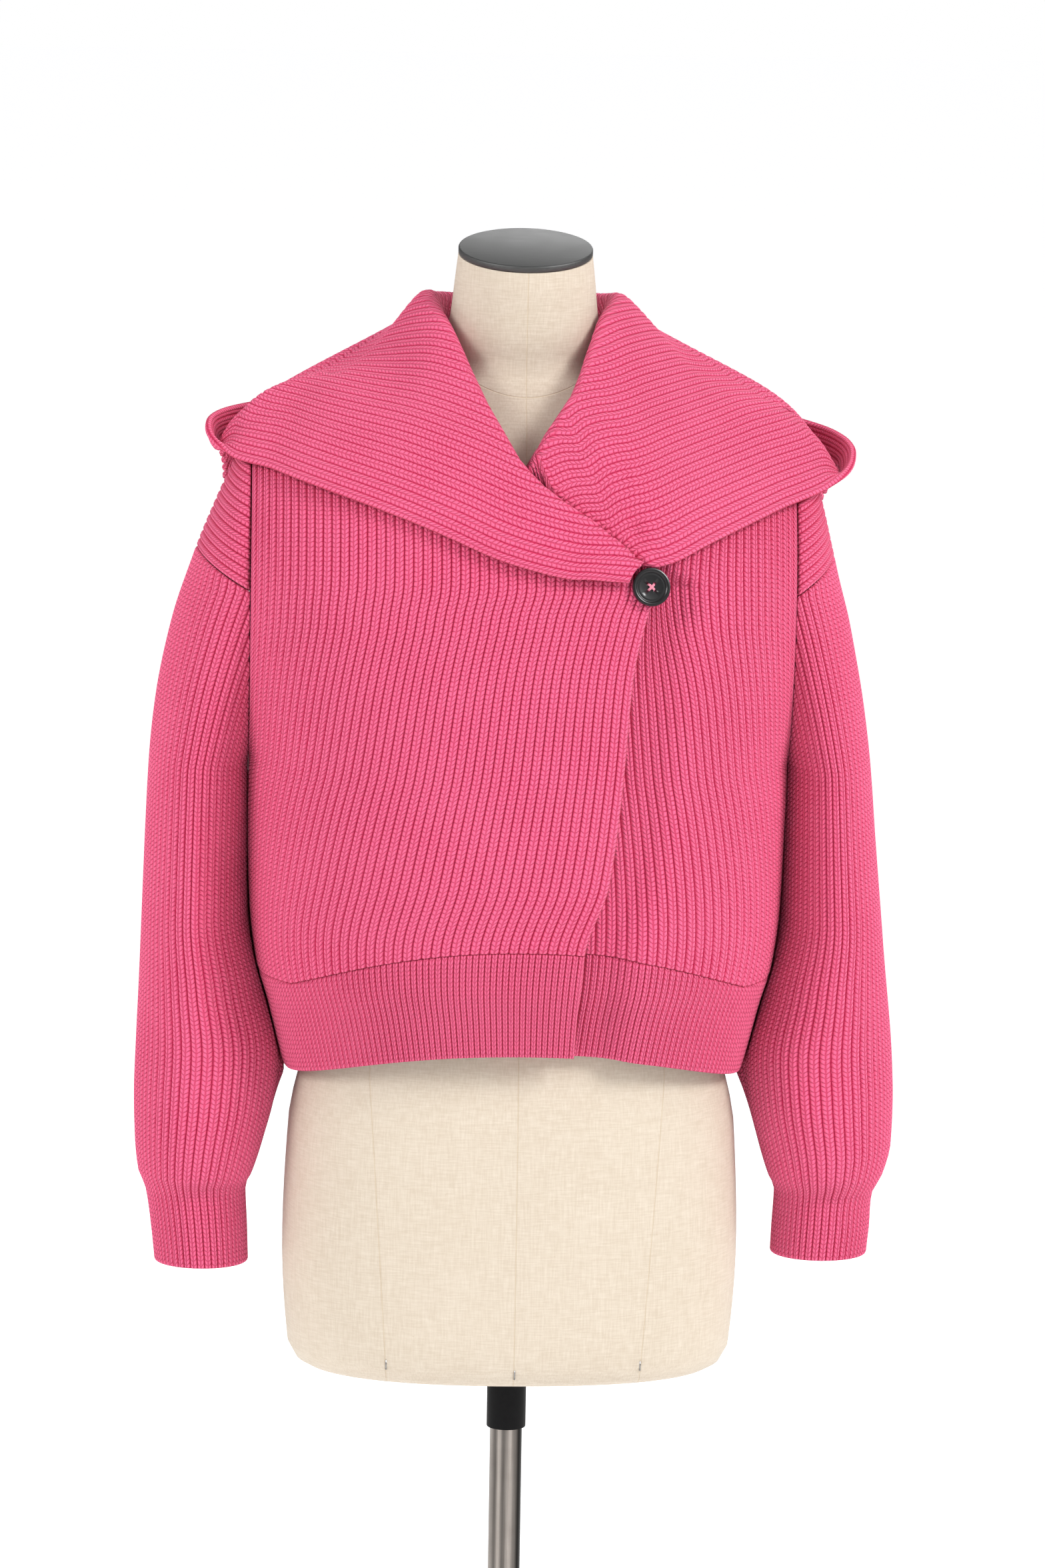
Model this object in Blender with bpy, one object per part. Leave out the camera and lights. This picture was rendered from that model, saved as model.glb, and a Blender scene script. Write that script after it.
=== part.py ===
"""A chunky rib-knit wrap cardigan with a large laid-down hood, on a limbless dress form and its stand.

Frame: metres, +Z up, the front faces -Y, +X is the viewer's right, origin on the floor under the pole.
The wearer's right is -X. Sizes below are in millimetres and heights are above DATUM, unless said.
"""
import math

import bmesh
import bpy
import numpy as np
from mathutils import Vector
from mathutils.bvhtree import BVHTree

MM = 0.001
DATUM = 670.0  # height of the zero line of all the tables above the floor

# Cloth
WALL = 3.6  # knit thickness under the ribs
RIB = 1.5  # height of a rib over the wall
HOOD_COLUMN = 10.5  # one raised rib of the hood is two of these, so every third knitted rib is raised
SEAM = 0.3  # gap between neighbouring pieces
SHARPNESS = 2.4  # exponent of the super-ellipse sections

# Where the body is parted into panels
SIDE_Y = 5.0  # plane of the side and shoulder seams
ARMHOLE_X = 206.0  # plane of the armhole seams, each side
UNDERARM_Z = 485.0
NECK_X = 66.0  # half the neck opening on the shoulder line
NECK_Z = 795.0
SHOULDER_TIP_Z = 738.0  # shoulder line at the armhole plane
SHOULDER_ROUND = 120.0  # height over which a panel curves in to the shoulder line

# Outline of the knitted body: height, half width at the sides, depth in front of and behind SIDE_Y
BODY = (
    # height, half_width, front, back
    (235, 171.5, 125, 116),
    (262, 179.5, 127, 118),
    (300, 189, 136, 126),
    (330, 197.5, 146, 134),
    (370, 202.5, 152, 137),
    (420, 204.5, 156, 135),
    (485, 206, 158, 130),
    (540, 206, 158, 126),
    (600, 206, 150, 122),
    (650, 206, 138, 118),
    (700, 206, 120, 112),
    (740, 206, 104, 102),
    (800, 206, 84, 86),
)
# Edge of the wearer's right front, from hem to button: height, x
FRONT_EDGE = (
    (240, 40), (276, 41), (358, 47), (410, 64), (487, 73), (564, 79), (610, 89), (634, 97), (800, 97),
)
# Neckline of that front, from the shoulder to the corner behind the button: x, height
FRONT_NECK = ((-66, 795), (-61, 768), (-44, 728), (-22, 697), (25, 664), (60, 646), (80, 637), (98, 634))
# Where the right front ends over the left one, up its edge and along its neckline: height, x
LAP_EDGE = (
    (240, 40), (358, 47), (410, 64), (487, 73), (564, 79),
    (634, 97), (646, 62), (664, 27), (697, -20), (728, -60),
)
UNDER_EDGE_X = -25.0  # hidden edge of the wearer's left front
UNDER_SINK = 12.0  # how far that front lies behind the right one where they lap
HEM_TOP_SIDE, HEM_TOP_FRONT, HEM_TOP_BACK = 322.0, 358.0, 326.0
HEM_LOW_SIDE, HEM_LOW_FRONT, HEM_LOW_BACK = 247.0, 275.0, 244.0

# Sleeve sections. Above the underarm they are cut by the armhole.
SLEEVE = (
    # height, outer_x, inner_x, centre_y, half_depth
    (92, 273, 203.5, -6, 34),
    (120, 276, 204.5, -6, 36),
    (152, 281, 206, -6, 38),
    (163, 286, 201, -6, 50),
    (190, 289, 192.5, -5, 57),
    (225, 290, 184, -4, 60),
    (260, 289, 181, -2, 61),
    (310, 287, 193, 0, 66),
    (370, 285, 206.6, 2, 71),
    (430, 283, 206.6, 4, 74),
    (485, 280.5, 206.3, 5, 76),
    (530, 276, 206.3, 5, 77),
    (590, 264, 206.3, 5, 77),
    (645, 246, 206.3, 5, 76),
)
CUFF_TOP = 156.0
CUFF_FOOT = {"right": 92.0, "left": 101.0}
SLEEVE_TUCK = 20.0  # how far a sleeve is drawn in behind the side of the body
SLEEVE_FOLD = {"right": 15.0, "left": 3.0}  # how far it falls back where it meets the side in front
BODY_ROOM = 4.3  # least distance between the plain faces of the body and of a sleeve beside it
# Yoke sections above the drop seam: height, outer x
YOKE = ((618, 254), (645, 246), (680, 232), (711, 218.5), (728, 212), (738, 208))
# How much further out the wearer's left sleeve and yoke reach than the right ones: height, distance
LEAN = (
    (80, 2), (120, 1.5), (150, -1), (190, 4), (250, 3.5), (350, -2.5), (450, -8.5), (555, -12), (606, -10.5),
    (650, -6.5), (680, -1.5), (711, 3), (738, 0),
)
DROP_OUTER_Z, DROP_FRONT_Z = 645.0, 620.0
YOKE_TOP_Z = 736.0

# Dress form: height, half_width, front, back, centre_y
FORM = (
    (15, 158, 98, 98, 0),
    (19, 165, 104, 104, 0),
    (30, 171, 109, 109, 0),
    (110, 176, 112, 118, 0),
    (205, 172, 110, 113, 0),
    (240, 165, 107, 106, 0),
    (280, 153, 101, 97, 0),
    (385, 125, 92, 84, 0),
    (500, 141, 112, 96, 0),
    (550, 149, 118, 101, 0),
    (650, 166, 103, 104, 0),
    (695, 176, 90, 98, 3),
    (722, 182, 80, 90, 5),
)
# Its shoulders lie just under the cloth: half_width, front, back, and how much lower they are by the neck
FORM_SHOULDER = (
    (176, 70, 84, 0),
    (158, 66, 80, 0),
    (134, 62, 75, 0),
    (110, 58, 70, 0),
    (90, 55, 66, 0.8),
    (75, 53, 60, 3.6),
)
REST_GAP = 0.7
FORM_ROOM = 12.0  # how far it stays inside the cloth beside that ridge
FORM_NECK = (
    (794, 57.0, 53, 54.5, 5),
    (810, 58, 54, 56, 3),
    (830, 55.5, 53.5, 54.5, 0),
    (850, 53.5, 52.5, 52.5, -4),
)
NECK_TOP_Z = 872.0
NECK_TILT = math.radians(13)
CAP_RADIUS, CAP_THICK, CAP_CENTRE_Y = 51.0, 5.0, -7.0
FORM_COLUMNS = 32

# Stand
POLE_RADIUS, SOCKET_DEPTH, SOCKET_CLEAR = 12.5, 120.0, 0.4
COLLAR_RADIUS, COLLAR_HEIGHT = 15.2, 55.0
BASE_RADIUS, BASE_THICK = 180.0, 8.0
HUB_RADIUS, HUB_HEIGHT = 22.0, 40.0

# Button
BUTTON_X, BUTTON_Z = 90.5, 633.0
BUTTON_RADIUS, BUTTON_THICK = 14.5, 4.0
BUTTON_SEAT = 1.6  # gap under it

COLOURS = {
    "knit": ((0.82, 0.13, 0.30, 1), 0.9, 0.0),
    "linen": ((0.83, 0.77, 0.66, 1), 0.85, 0.0),
    "steel": ((0.55, 0.55, 0.54, 1), 0.35, 1.0),
    "black": ((0.02, 0.02, 0.02, 1), 0.4, 0.0),
}


def clear_scene():
    for obj in list(bpy.data.objects):
        bpy.data.objects.remove(obj, do_unlink=True)


def material(name):
    found = bpy.data.materials.get(name)
    if found:
        return found
    colour, roughness, metallic = COLOURS[name]
    made = bpy.data.materials.new(name)
    made.use_nodes = True
    shader = made.node_tree.nodes["Principled BSDF"]
    shader.inputs["Base Color"].default_value = colour
    shader.inputs["Roughness"].default_value = roughness
    shader.inputs["Metallic"].default_value = metallic
    return made


def column(table, index):
    return [row[index] for row in table]


def smooth_read(table, where, index):
    """Reads one column of a table at any height by a monotone cubic, so outlines have no kinks."""
    xs = np.array(column(table, 0), float)
    ys = np.array(column(table, index), float)
    where = np.clip(where, xs[0], xs[-1])
    steps = np.diff(xs)
    slopes = np.diff(ys) / steps
    tangents = np.zeros_like(ys)
    product = slopes[:-1] * slopes[1:]
    tangents[1:-1] = np.where(product > 0, 2 * product / (slopes[:-1] + slopes[1:] + 1e-12), 0)
    tangents[0], tangents[-1] = slopes[0], slopes[-1]
    i = np.clip(np.searchsorted(xs, where) - 1, 0, len(steps) - 1)
    h = steps[i]
    t = (where - xs[i]) / h
    return (
        ys[i] * (1 + 2 * t) * (1 - t) ** 2
        + tangents[i] * h * t * (1 - t) ** 2
        + ys[i + 1] * t * t * (3 - 2 * t)
        + tangents[i + 1] * h * t * t * (t - 1)
    )


def smoothstep(value):
    value = np.clip(value, 0, 1)
    return value * value * (3 - 2 * value)


def rounded(height_left, reach):
    """1 away from an edge, falling to 0 at it as a quarter circle."""
    t = np.clip(height_left / reach, 0, 1)
    return np.sqrt(np.clip(1 - (1 - t) ** 2, 0, 1))


def shoulder_z(x):
    along = np.clip((np.abs(x) - NECK_X) / (ARMHOLE_X - NECK_X), 0, 1)
    return NECK_Z + (SHOULDER_TIP_Z - NECK_Z) * along - 2 * np.sin(math.pi * along)


def closing_z(x):
    """Height at which front and back would meet: the shoulder line, and well above the neck opening."""
    return shoulder_z(x) + 1.1 * np.maximum(0, NECK_X - np.abs(x))


def armhole_share(z):
    """How much of the sleeve's depth the armhole takes: 0 at the underarm, 1 where the drop seam starts."""
    return rounded(z - UNDERARM_Z, DROP_FRONT_Z - UNDERARM_Z)


def armhole_depth(z):
    return smooth_read(SLEEVE, z, 4) * armhole_share(z)


def torso_depth(x, z, side):
    """Distance of the body's surface from the side-seam plane. side is 2 for the front, 3 for the back."""
    reach = smooth_read(BODY, z, side)
    ratio = np.clip(armhole_depth(z) / reach, 0, 0.99) ** SHARPNESS
    half = smooth_read(BODY, z, 1) / (1 - ratio) ** (1 / SHARPNESS)
    inside = np.clip(1 - (np.abs(x) / half) ** SHARPNESS, 0, 1) ** (1 / SHARPNESS)
    return reach * inside * rounded(closing_z(x) - z, SHOULDER_ROUND)


def front_y(x, z):
    return SIDE_Y - torso_depth(x, z, 2)


def back_y(x, z):
    return SIDE_Y + torso_depth(x, z, 3)


def read_line(line, where):
    """A piecewise line of (where, value) pairs, eased by the monotone cubic."""
    return smooth_read(line, where, 1)


def front_edge_x(z):
    return read_line(FRONT_EDGE, z)


def neck_front_z(x):
    """Height of the neckline of a front at x, rising from the corner by the button to the shoulder."""
    return read_line(FRONT_NECK, x)


def front_top_z(x):
    return np.where(x < -NECK_X, shoulder_z(x), neck_front_z(x))


def back_top_z(x):
    dip = 8 * (1 - np.clip(np.abs(x) / NECK_X, 0, 1) ** 2)
    return shoulder_z(x) - np.where(np.abs(x) < NECK_X, dip, 0)


def hem_z(x, side_level, middle_level):
    return middle_level + (side_level - middle_level) * np.clip(np.abs(x) / 172, 0, 1) ** 2.2


def grid_normals(grid):
    """Normals of a rows x columns grid of points, from its neighbours."""
    down = np.gradient(grid, axis=0)
    across = np.gradient(grid, axis=1)
    normals = np.cross(across, down)
    length = np.linalg.norm(normals, axis=2, keepdims=True)
    return normals / np.maximum(length, 1e-9)


def ring_normals(grid):
    """The same for a grid whose columns close round."""
    down = np.gradient(grid, axis=0)
    across = np.roll(grid, -1, axis=1) - np.roll(grid, 1, axis=1)
    normals = np.cross(across, down)
    return normals / np.maximum(np.linalg.norm(normals, axis=2, keepdims=True), 1e-9)


class Shell:
    """Collects points and triangles, and welds them into one closed mesh."""

    def __init__(self):
        self.points = []
        self.faces = []

    def add(self, points):
        start = len(self.points)
        self.points.extend(np.asarray(points, float).reshape(-1, 3))
        return start

    def sheet(self, grid, closed=False):
        """Triangles over a grid. It gives back the grid of point numbers."""
        rows, columns = grid.shape[:2]
        index = self.add(grid) + np.arange(rows * columns).reshape(rows, columns)
        last = columns if closed else columns - 1
        for j in range(rows - 1):
            for i in range(last):
                a, b = index[j, i], index[j, (i + 1) % columns]
                c, d = index[j + 1, (i + 1) % columns], index[j + 1, i]
                self.faces.append((a, b, c))
                self.faces.append((a, c, d))
        return index

    def zip(self, first, second, ring=False):
        """Triangles between two chains of points that run side by side, of any two lengths."""
        first, second = list(first), list(second)
        if ring:
            first.append(first[0])
            second.append(second[0])
        i = j = 0
        while i < len(first) - 1 or j < len(second) - 1:
            ahead_first = (i + 1) / max(len(first) - 1, 1)
            ahead_second = (j + 1) / max(len(second) - 1, 1)
            if j == len(second) - 1 or (i < len(first) - 1 and ahead_first <= ahead_second):
                self.faces.append((first[i], first[i + 1], second[j]))
                i += 1
            else:
                self.faces.append((first[i], second[j + 1], second[j]))
                j += 1

    def close(self, chain, tip):
        """Triangles from a closed chain to one point."""
        point = self.add([tip])
        for i, a in enumerate(chain):
            self.faces.append((a, chain[(i + 1) % len(chain)], point))

    def build(self, name, kind, smooth=True):
        mesh = bpy.data.meshes.new(name)
        grid = np.round(np.array(self.points) * 1e4).astype(np.int64)
        _, first, index = np.unique(grid, axis=0, return_index=True, return_inverse=True)
        index = index.reshape(-1)
        faces = set()
        kept = []
        for a, b, c in self.faces:
            face = (int(index[a]), int(index[b]), int(index[c]))
            key = tuple(sorted(face))
            if len(set(face)) == 3 and key not in faces:
                faces.add(key)
                kept.append(face)
        points = np.array(self.points)[first] * MM + np.array([0, 0, DATUM * MM])
        mesh.from_pydata([tuple(p) for p in points], [], kept)
        work = bmesh.new()
        work.from_mesh(mesh)
        bmesh.ops.recalc_face_normals(work, faces=work.faces)
        if work.calc_volume(signed=True) < 0:
            bmesh.ops.reverse_faces(work, faces=work.faces)
        work.to_mesh(mesh)
        work.free()
        if smooth:
            mesh.shade_smooth()
            mesh.set_sharp_from_angle(angle=math.radians(50))
        mesh.materials.append(material(kind))
        obj = bpy.data.objects.new(name, mesh)
        bpy.context.scene.collection.objects.link(obj)
        return obj


def coarse(count, share):
    """Numbers of the rows or columns that the plain inside keeps."""
    return np.unique(np.round(np.linspace(0, count - 1, max(2, int(count * share)))).astype(int))


def panel_shell(name, outer, inner, inner_rows, inner_columns):
    """An open panel: a ribbed outside, a plain inside with fewer points, and the four edges between them."""
    shell = Shell()
    out = shell.sheet(outer)
    inn = shell.sheet(inner[np.ix_(inner_rows, inner_columns)])
    shell.zip(out[0], inn[0])
    shell.zip(out[-1], inn[-1])
    shell.zip(out[:, 0], inn[:, 0])
    shell.zip(out[:, -1], inn[:, -1])
    return shell.build(name, "knit")


HEIGHTS = np.arange(235.0, 801.0, 5.0)
# Rows of a panel, closer where the shoulder curves in, and where the left front dips under the lap
PANEL_ROWS = (0.0, 0.13, 0.27, 0.42, 0.58, 0.74, 0.87, 0.94, 0.985, 1.0)
LAPPED_ROWS = (0.0, 0.13, 0.27, 0.42, 0.56, 0.63, 0.68, 0.73, 0.79, 0.87, 0.94, 0.985, 1.0)


def column_tracks(side, start, end, count):
    """x of every column at each of HEIGHTS, at even steps round the body between two edges.

    An edge column turns sharply from the side seam into the armhole. The others lean over more gently.
    """
    share = np.linspace(0, 1, count)
    near_start = np.exp(-np.arange(count) / 3.0)
    near_end = near_start[::-1]
    tracks = []
    for z in HEIGHTS:
        half = float(smooth_read(BODY, z, 1))
        x0, x1 = max(start(z), -half), min(end(z), half)
        turn = np.linspace(math.asin(max(-1, x0 / half)), math.asin(min(1, x1 / half)), 400)
        xs = half * np.sin(turn)
        ys = torso_depth(xs, np.full_like(xs, min(z, 600.0)), side)
        along = np.concatenate([[0], np.cumsum(np.hypot(np.diff(xs), np.diff(ys)))])
        taken = float(armhole_depth(z))
        gentle = 77 * float(smoothstep((z - 340) / 280))
        at_start = (near_start * taken + (1 - near_start) * gentle) * (x0 == -half)
        at_end = (near_end * taken + (1 - near_end) * gentle) * (x1 == half)
        whole = along[-1] + taken * (x0 == -half) + taken * (x1 == half)
        place = share * whole + (1 - share) * at_start - share * at_end - taken * (x0 == -half)
        tracks.append(np.interp(np.maximum.accumulate(np.clip(place, 0, along[-1])), along, xs))
    return np.array(tracks)


def panel_grid(side, start, end, top, low, hem_top, count, sink=None, steps=PANEL_ROWS):
    """Base points of a body panel: rows from the hem up, columns along the ribs."""
    tracks = column_tracks(side, start, end, count)

    def x_at(i, z):
        return np.interp(z, HEIGHTS, tracks[:, i])

    columns = []
    for i in range(count):
        foot, waist, head = 250.0, 330.0, 700.0
        for _ in range(30):
            foot = 0.5 * (foot + low(x_at(i, foot)))
            waist = 0.5 * (waist + hem_top(x_at(i, waist)))
            head = 0.5 * (head + top(x_at(i, head)))
        band = foot + (waist - foot) * np.array([0.0, 0.5])
        rise = np.concatenate([band, waist + (head - waist) * np.array(steps)])
        columns.append(np.stack([x_at(i, rise), rise], axis=1))
    grid = np.array(columns).transpose(1, 0, 2)
    x, z = grid[..., 0], grid[..., 1]
    depth = torso_depth(x, z, side)
    if sink is not None:
        depth = depth - sink(x, z)
    y = SIDE_Y - depth if side == 2 else SIDE_Y + depth
    return np.stack([x, y, z], axis=2)


def trim_to_seams(points, side):
    """Keeps a body panel between its armhole planes and on its side of the side seam."""
    points[..., 0] = np.clip(points[..., 0], -ARMHOLE_X + SEAM / 2, ARMHOLE_X - SEAM / 2)
    if side == 2:
        points[..., 1] = np.minimum(points[..., 1], SIDE_Y - SEAM / 2)
    else:
        points[..., 1] = np.maximum(points[..., 1], SIDE_Y + SEAM / 2)
    return points


def outward(grid, normals, centre):
    """Turns the normals to point away from a line up the middle of a piece."""
    away = grid - centre
    away[..., 2] = 0
    facing = np.sum(normals * away, axis=2, keepdims=True)
    return np.where(np.sum(facing) < 0, -normals, normals)


def body_panel(name, side, grid):
    rows, columns = grid.shape[:2]
    normals = outward(grid, grid_normals(grid), np.array([0, SIDE_Y, 0]))
    ribs = RIB * (np.arange(columns) % 2)[None, :, None]
    outer = trim_to_seams(grid + normals * ribs, side)
    inner = trim_to_seams(grid - normals * WALL, side)
    return panel_shell(name, outer, inner, np.arange(rows), coarse(columns, 0.34))


def front_sink(x, z):
    """The wearer's left front dips behind the right one near and under its edge."""
    return UNDER_SINK * smoothstep((read_line(LAP_EDGE, z) + 50 - x) / 32)


def fronts():
    def flip(function):
        return lambda x: function(-x)

    def low(x):
        return hem_z(x, HEM_LOW_SIDE, HEM_LOW_FRONT)

    def hem_top(x):
        return hem_z(x, HEM_TOP_SIDE, HEM_TOP_FRONT)

    right = panel_grid(2, lambda z: -999.0, front_edge_x, front_top_z, low, hem_top, 47)
    body_panel("front_right", 2, right)
    left = panel_grid(
        2, lambda z: UNDER_EDGE_X, lambda z: 999.0, flip(front_top_z), low, hem_top, 37, front_sink, LAPPED_ROWS
    )
    body_panel("front_left", 2, left)


def back_panel():
    def low(x):
        return hem_z(x, HEM_LOW_SIDE, HEM_LOW_BACK)

    def hem_top(x):
        return hem_z(x, HEM_TOP_SIDE, HEM_TOP_BACK)

    grid = panel_grid(3, lambda z: -999.0, lambda z: 999.0, back_top_z, low, hem_top, 57)
    body_panel("back", 3, grid)


SIDES = {"right": -1.0, "left": 1.0}


def lean(z, side):
    """The wearer's left sleeve hangs a little closer at the top and further out at the bottom."""
    return 0.0 * z if side == "right" else smooth_read(LEAN, z, 1)


def beside_body(y, z, room):
    """How far out a sleeve hangs clear of the body's side, at most as far as the plane of the armhole."""
    reach = np.where(y < SIDE_Y, smooth_read(BODY, z, 2), smooth_read(BODY, z, 3))
    ratio = np.clip(np.abs(y - SIDE_Y) / reach, 0, 1)
    side_x = smooth_read(BODY, z, 1) * (1 - ratio**SHARPNESS) ** (1 / SHARPNESS)
    return np.minimum(side_x + room, ARMHOLE_X + SEAM / 2)


def sleeve_point(turn, z, side):
    """Outer surface of a sleeve: turn 0 is the outside, 90 the front, 180 next to the body."""
    outer_x = smooth_read(SLEEVE, z, 1) + lean(z, side)
    inner_x = smooth_read(SLEEVE, z, 2)
    share = armhole_share(z)
    reach_in = np.where(z > UNDERARM_Z, np.sqrt(np.clip(1 - share**2, 0, 1)), 1.0)
    edge_x = np.where(z > UNDERARM_Z, ARMHOLE_X + SEAM / 2, inner_x)
    radius = (outer_x - edge_x) / (1 + reach_in)
    x = outer_x - radius + radius * np.cos(turn)
    y = smooth_read(SLEEVE, z, 3) - smooth_read(SLEEVE, z, 4) * np.sin(turn)
    behind = 2 * np.clip(-np.sin(turn), 0, 1) * np.clip(-np.cos(turn), 0, 1)
    x = x - SLEEVE_TUCK * behind * smoothstep((UNDERARM_Z - z) / 60) * smoothstep((z - 200) / 60)
    ahead = 2 * np.clip(np.sin(turn), 0, 1) * np.clip(-np.cos(turn), 0, 1)
    y = y + SLEEVE_FOLD[side] * ahead * smoothstep((UNDERARM_Z - z) / 90) * smoothstep((z - 230) / 90)
    x = np.where(z < UNDERARM_Z, np.maximum(x, beside_body(y, z, BODY_ROOM)), x)
    return np.stack([SIDES[side] * x, y, z], axis=-1)


def even_turns(count):
    """Angles at equal steps round the sleeve's oval."""
    turn = np.linspace(-math.pi, math.pi, 721)
    along = np.concatenate([[0], np.cumsum(np.hypot(np.diff(42 * np.cos(turn)), np.diff(70 * np.sin(turn))))])
    return np.interp(np.linspace(0, along[-1], count + 1)[:-1], along, turn)


def drop_z(turn):
    """Height of the drop seam round the arm, and of the armhole edge where a column ends at the body."""
    back = UNDERARM_Z + (DROP_FRONT_Z - UNDERARM_Z) * (1 - np.abs(np.cos(turn)))
    return np.where(np.cos(turn) > 0, DROP_FRONT_Z + (DROP_OUTER_Z - DROP_FRONT_Z) * np.cos(turn), back)


def sleeves():
    shares = np.array([0.09, 0.2, 0.32, 0.46, 0.6, 0.74, 0.87, 1.0])
    turns = even_turns(42)
    for side, sign in SIDES.items():
        cuff_rows = np.array([CUFF_FOOT[side], 126.0, CUFF_TOP - 2, CUFF_TOP + 6])
        rows = [sleeve_point(turns, np.full_like(turns, z), side) for z in cuff_rows]
        for share in shares:
            z = cuff_rows[-1] + (drop_z(turns) - SEAM - cuff_rows[-1]) * share
            rows.append(sleeve_point(turns, z, side))
        grid = np.array(rows)
        centre = np.array([sign * 244.0, 2.0, 0.0])
        normals = outward(grid, ring_normals(grid), centre)
        ribs = RIB * (np.arange(len(turns)) % 2)[None, :, None]
        outer = grid + normals * ribs
        inner = grid - normals * WALL
        for points in (outer, inner):
            _, y, z = np.moveaxis(points, 2, 0)
            limit = np.where(z > UNDERARM_Z, ARMHOLE_X + SEAM / 2, beside_body(y, z, BODY_ROOM - RIB))
            points[..., 0] = sign * np.maximum(sign * points[..., 0], limit)
        shell = Shell()
        out = shell.sheet(outer, closed=True)
        kept = coarse(len(turns), 0.34)
        inn = shell.sheet(inner[:, kept], closed=True)
        shell.zip(out[0], inn[0], ring=True)
        shell.zip(out[-1], inn[-1], ring=True)
        shell.build("sleeve_" + side, "knit")


def yokes():
    rings = 13
    turns = np.linspace(-math.pi / 2, math.pi / 2, 19)
    for side, sign in SIDES.items():
        rows = []
        for ring in range(rings):
            share = ring / (rings - 1)
            z = drop_z(turns) + (YOKE_TOP_Z - drop_z(turns)) * share
            outer_x = smooth_read(YOKE, z, 1) + lean(z, side)
            edge = ARMHOLE_X + SEAM / 2
            depth = smooth_read(SLEEVE, z, 4) * rounded(SHOULDER_TIP_Z - z, SHOULDER_ROUND)
            x = edge + (outer_x - edge) * np.cos(turns)
            y = SIDE_Y - depth * np.sin(turns)
            rows.append(np.stack([sign * x, y, z], axis=1))
        grid = np.array(rows)
        normals = outward(grid, grid_normals(grid), np.array([sign * 190.0, SIDE_Y, 0.0]))
        ribs = RIB * (np.arange(rings) % 2)[:, None, None]
        outer = grid + normals * ribs
        inner = grid - normals * WALL
        for points in (outer, inner):
            points[..., 0] = sign * np.maximum(sign * points[..., 0], ARMHOLE_X + SEAM / 2)
        panel_shell("yoke_" + side, outer, inner, coarse(rings, 0.4), coarse(len(turns), 0.6))


def ring_points(radius, z, count, centre=(0.0, 0.0)):
    turn = np.linspace(0, 2 * math.pi, count, endpoint=False)
    x = centre[0] + radius * np.cos(turn)
    y = centre[1] + radius * np.sin(turn)
    return np.stack([x, y, np.full(count, z)], axis=1)


def turned(name, profile, kind, count=40, through=False):
    """A turned solid from (radius, z) pairs. Its ends close on the axis, or join when it is a ring."""
    shell = Shell()
    grid = np.array([ring_points(radius, z, count) for radius, z in profile])
    index = shell.sheet(grid, closed=True)
    if through:
        shell.zip(index[0], index[-1], ring=True)
    else:
        shell.close(index[0], (0, 0, profile[0][1]))
        shell.close(index[-1], (0, 0, profile[-1][1]))
    return shell.build(name, kind)


def form():
    turn = np.linspace(0, 2 * math.pi, FORM_COLUMNS, endpoint=False)
    shoulders = []
    for half, ahead, behind, drop in FORM_SHOULDER:
        shoulders.append((float(shoulder_z(half)) - WALL - REST_GAP - drop, half, ahead, behind, SIDE_Y))
    rows = []
    for height, half, front, back, centre in (*FORM, *shoulders, *FORM_NECK):
        power = 2 / (2.0 + 0.35 * smoothstep((760 - height) / 60))
        cosine, sine = np.cos(turn), np.sin(turn)
        x = half * np.sign(cosine) * np.abs(cosine) ** power
        depth = np.where(sine < 0, front, back) * np.abs(sine) ** power
        room = [torso_depth(x, np.full_like(x, height + FORM_ROOM), side) - FORM_ROOM for side in (2, 3)]
        within = np.maximum(np.where(sine < 0, room[0], room[1]), 0.15 * depth)
        on_shoulder = SHOULDER_TIP_Z < height < NECK_Z - 3
        y = centre + np.sign(sine) * (np.minimum(depth, within) if on_shoulder else depth)
        rows.append(np.stack([x, y, np.full_like(x, height)], axis=1))
    neck = ring_points(CAP_RADIUS, 0, FORM_COLUMNS)
    top_z = NECK_TOP_Z + neck[:, 1] * math.sin(NECK_TILT)
    rows.append(np.stack([neck[:, 0], CAP_CENTRE_Y + neck[:, 1] * math.cos(NECK_TILT), top_z], axis=1))
    shell = Shell()
    index = shell.sheet(np.array(rows), closed=True)
    shell.close(index[-1], (0, CAP_CENTRE_Y, NECK_TOP_Z))
    foot = FORM[0][0]
    hole = POLE_RADIUS + SOCKET_CLEAR
    rings = [ring_points(hole, z, FORM_COLUMNS) for z in (foot, foot + SOCKET_DEPTH)]
    socket = shell.sheet(np.array(rings), closed=True)
    shell.zip(index[0], socket[0], ring=True)
    shell.close(socket[1], (0, 0, foot + SOCKET_DEPTH))
    shell.build("form_body", "linen")


def cap():
    """A thin plate with an eased rim, lying on the tilted top of the neck."""
    top = SEAM + CAP_THICK
    profile = (
        (CAP_RADIUS - 1.2, SEAM),
        (CAP_RADIUS, SEAM + 1.0),
        (CAP_RADIUS, top - 1.2),
        (CAP_RADIUS - 1.6, top),
    )
    shell = Shell()
    rows = []
    for radius, lift in profile:
        flat = ring_points(radius, lift, FORM_COLUMNS)
        y = CAP_CENTRE_Y + flat[:, 1] * math.cos(NECK_TILT) - lift * math.sin(NECK_TILT)
        z = NECK_TOP_Z + flat[:, 1] * math.sin(NECK_TILT) + lift * math.cos(NECK_TILT)
        rows.append(np.stack([flat[:, 0], y, z], axis=1))
    index = shell.sheet(np.array(rows), closed=True)
    for row in (0, -1):
        shell.close(index[row], tuple(np.mean(rows[row], axis=0)))
    shell.build("neck_cap", "steel")


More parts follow.
